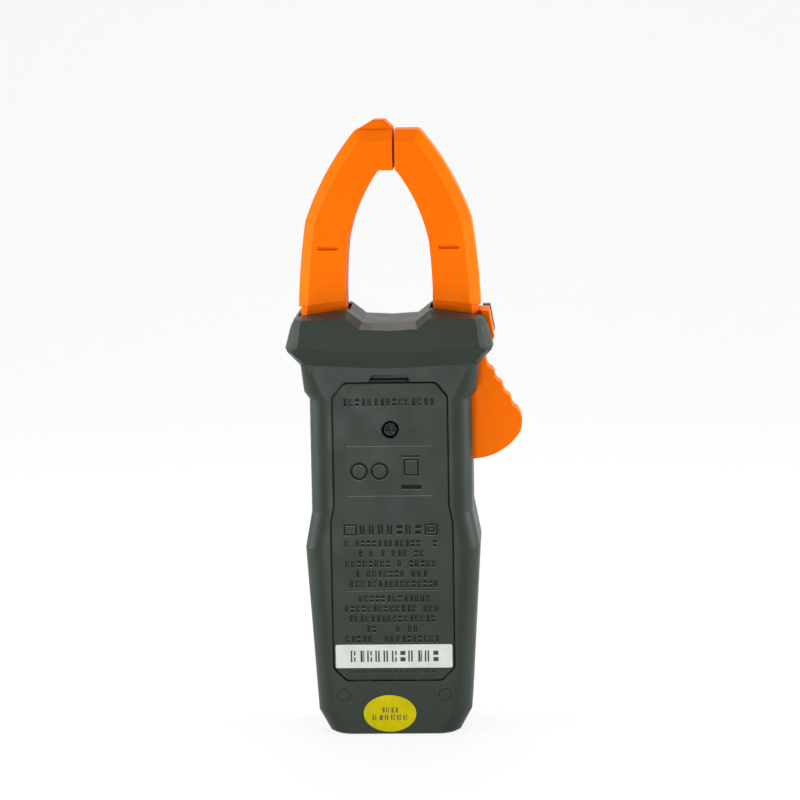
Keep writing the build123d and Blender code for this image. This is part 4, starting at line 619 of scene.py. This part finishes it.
card_tree.links.new(blend.outputs[0], card_out.inputs["Surface"])
sweep.data.materials.append(card)
print("table and backdrop:", len(sweep.data.polygons), "faces")

# %% [markdown]
# The meter is lit as in a light tent, with bright walls left and right and little light from in front and
# overhead. That holds for diffuse light, which models the form. What the plastic mirrors is plain white all
# round, as is what the camera sees past the meter. Four area lamps add direction: one on each side, one
# above and behind for the top edges, and a weak one low in front of the back face.

# %% Light tent
world = bpy.data.worlds.new("tent")
bpy.context.scene.world = world
world.use_nodes = True
tent = world.node_tree
tent.nodes.clear()
ray = add_node(tent, "ShaderNodeLightPath")
toward = add_node(tent, "ShaderNodeTexCoord")
axes = add_node(tent, "ShaderNodeSeparateXYZ", Vector=toward.outputs["Generated"])
sideways = add_node(tent, "ShaderNodeMath", {"operation": "ABSOLUTE"}, _0=axes.outputs["X"])
side_glow = add_node(tent, "ShaderNodeMapRange", Value=sideways.outputs[0], From_Min=0.25, From_Max=0.85,
                     To_Min=0.05, To_Max=0.85)
tent_wall = add_node(tent, "ShaderNodeBackground", Color=(1, 1, 1, 1), Strength=side_glow.outputs[0])
seen_white = add_node(tent, "ShaderNodeBackground", Color=(1, 1, 1, 1), Strength=1.0)
straight = add_node(tent, "ShaderNodeMath", {"operation": "MAXIMUM"}, _0=ray.outputs["Is Camera Ray"],
                    _1=ray.outputs["Is Transmission Ray"])
any_seen = add_node(tent, "ShaderNodeMath", {"operation": "MAXIMUM"}, _0=straight.outputs[0],
                    _1=ray.outputs["Is Glossy Ray"])
sky = add_node(tent, "ShaderNodeMixShader", _0=any_seen.outputs[0], _1=tent_wall.outputs[0],
               _2=seen_white.outputs[0])
add_node(tent, "ShaderNodeOutputWorld", Surface=sky.outputs[0])


def softbox(name, place, target, size, power):
    """Square area lamp that looks from place to target, in metres and watts."""
    data = bpy.data.lights.new(name, "AREA")
    data.size = size
    data.energy = power
    lamp = bpy.data.objects.new(name, data)
    bpy.context.collection.objects.link(lamp)
    aim = (Vector(target) - Vector(place)).to_track_quat("-Z", "Y")
    lamp.matrix_world = Matrix.Translation(place) @ aim.to_matrix().to_4x4()
    return lamp


METER = (0, 0, 0.11)
for side in (-1, 1):
    softbox("wall_lamp", (side * 0.7, 0.05, 0.2), METER, 0.5, 4.5)
softbox("top_lamp", (0.0, -0.3, 0.8), METER, 0.6, 5.0)
softbox("table_lamp", (0.06, 0.45, 0.045), (0, 0, 0.07), 0.08, 0.55)

# %% [markdown]
# The camera stands about a metre away, a little above the meter and to one side, and its horizon is a degree
# off level. Distance and height are estimates. Tilt, turn, roll and focal length follow from them and from
# where the foot, the tip and the middle of the meter should appear.

# %% Camera
EYE = Vector((-48.9, 1000.0, 260.0)) * MM
PITCH = math.radians(8.73)
YAW = math.radians(2.71)
ROLL = math.radians(-0.98)
SENSOR_MM = 36.0
FOCAL_MM = 135.13

camera_data = bpy.data.cameras.new("camera")
camera_data.sensor_width = SENSOR_MM
camera_data.lens = FOCAL_MM
camera_data.shift_x = 0.00375
camera_data.shift_y = 0.01875
camera_data.clip_start = 0.01
camera = bpy.data.objects.new("camera", camera_data)
bpy.context.collection.objects.link(camera)
ahead = Vector((math.sin(YAW) * math.cos(PITCH), -math.cos(YAW) * math.cos(PITCH), -math.sin(PITCH)))
level = ahead.cross(Vector((0, 0, 1))).normalized()
upward = level.cross(ahead)
across = math.cos(ROLL) * level + math.sin(ROLL) * upward
rising = math.cos(ROLL) * upward - math.sin(ROLL) * level
camera.matrix_world = Matrix.Translation(EYE) @ Matrix((across, rising, -ahead)).transposed().to_4x4()
bpy.context.scene.camera = camera
bpy.context.scene.view_settings.view_transform = "Standard"
print("camera at", [round(c, 3) for c in EYE], "m, focal length", FOCAL_MM, "mm")
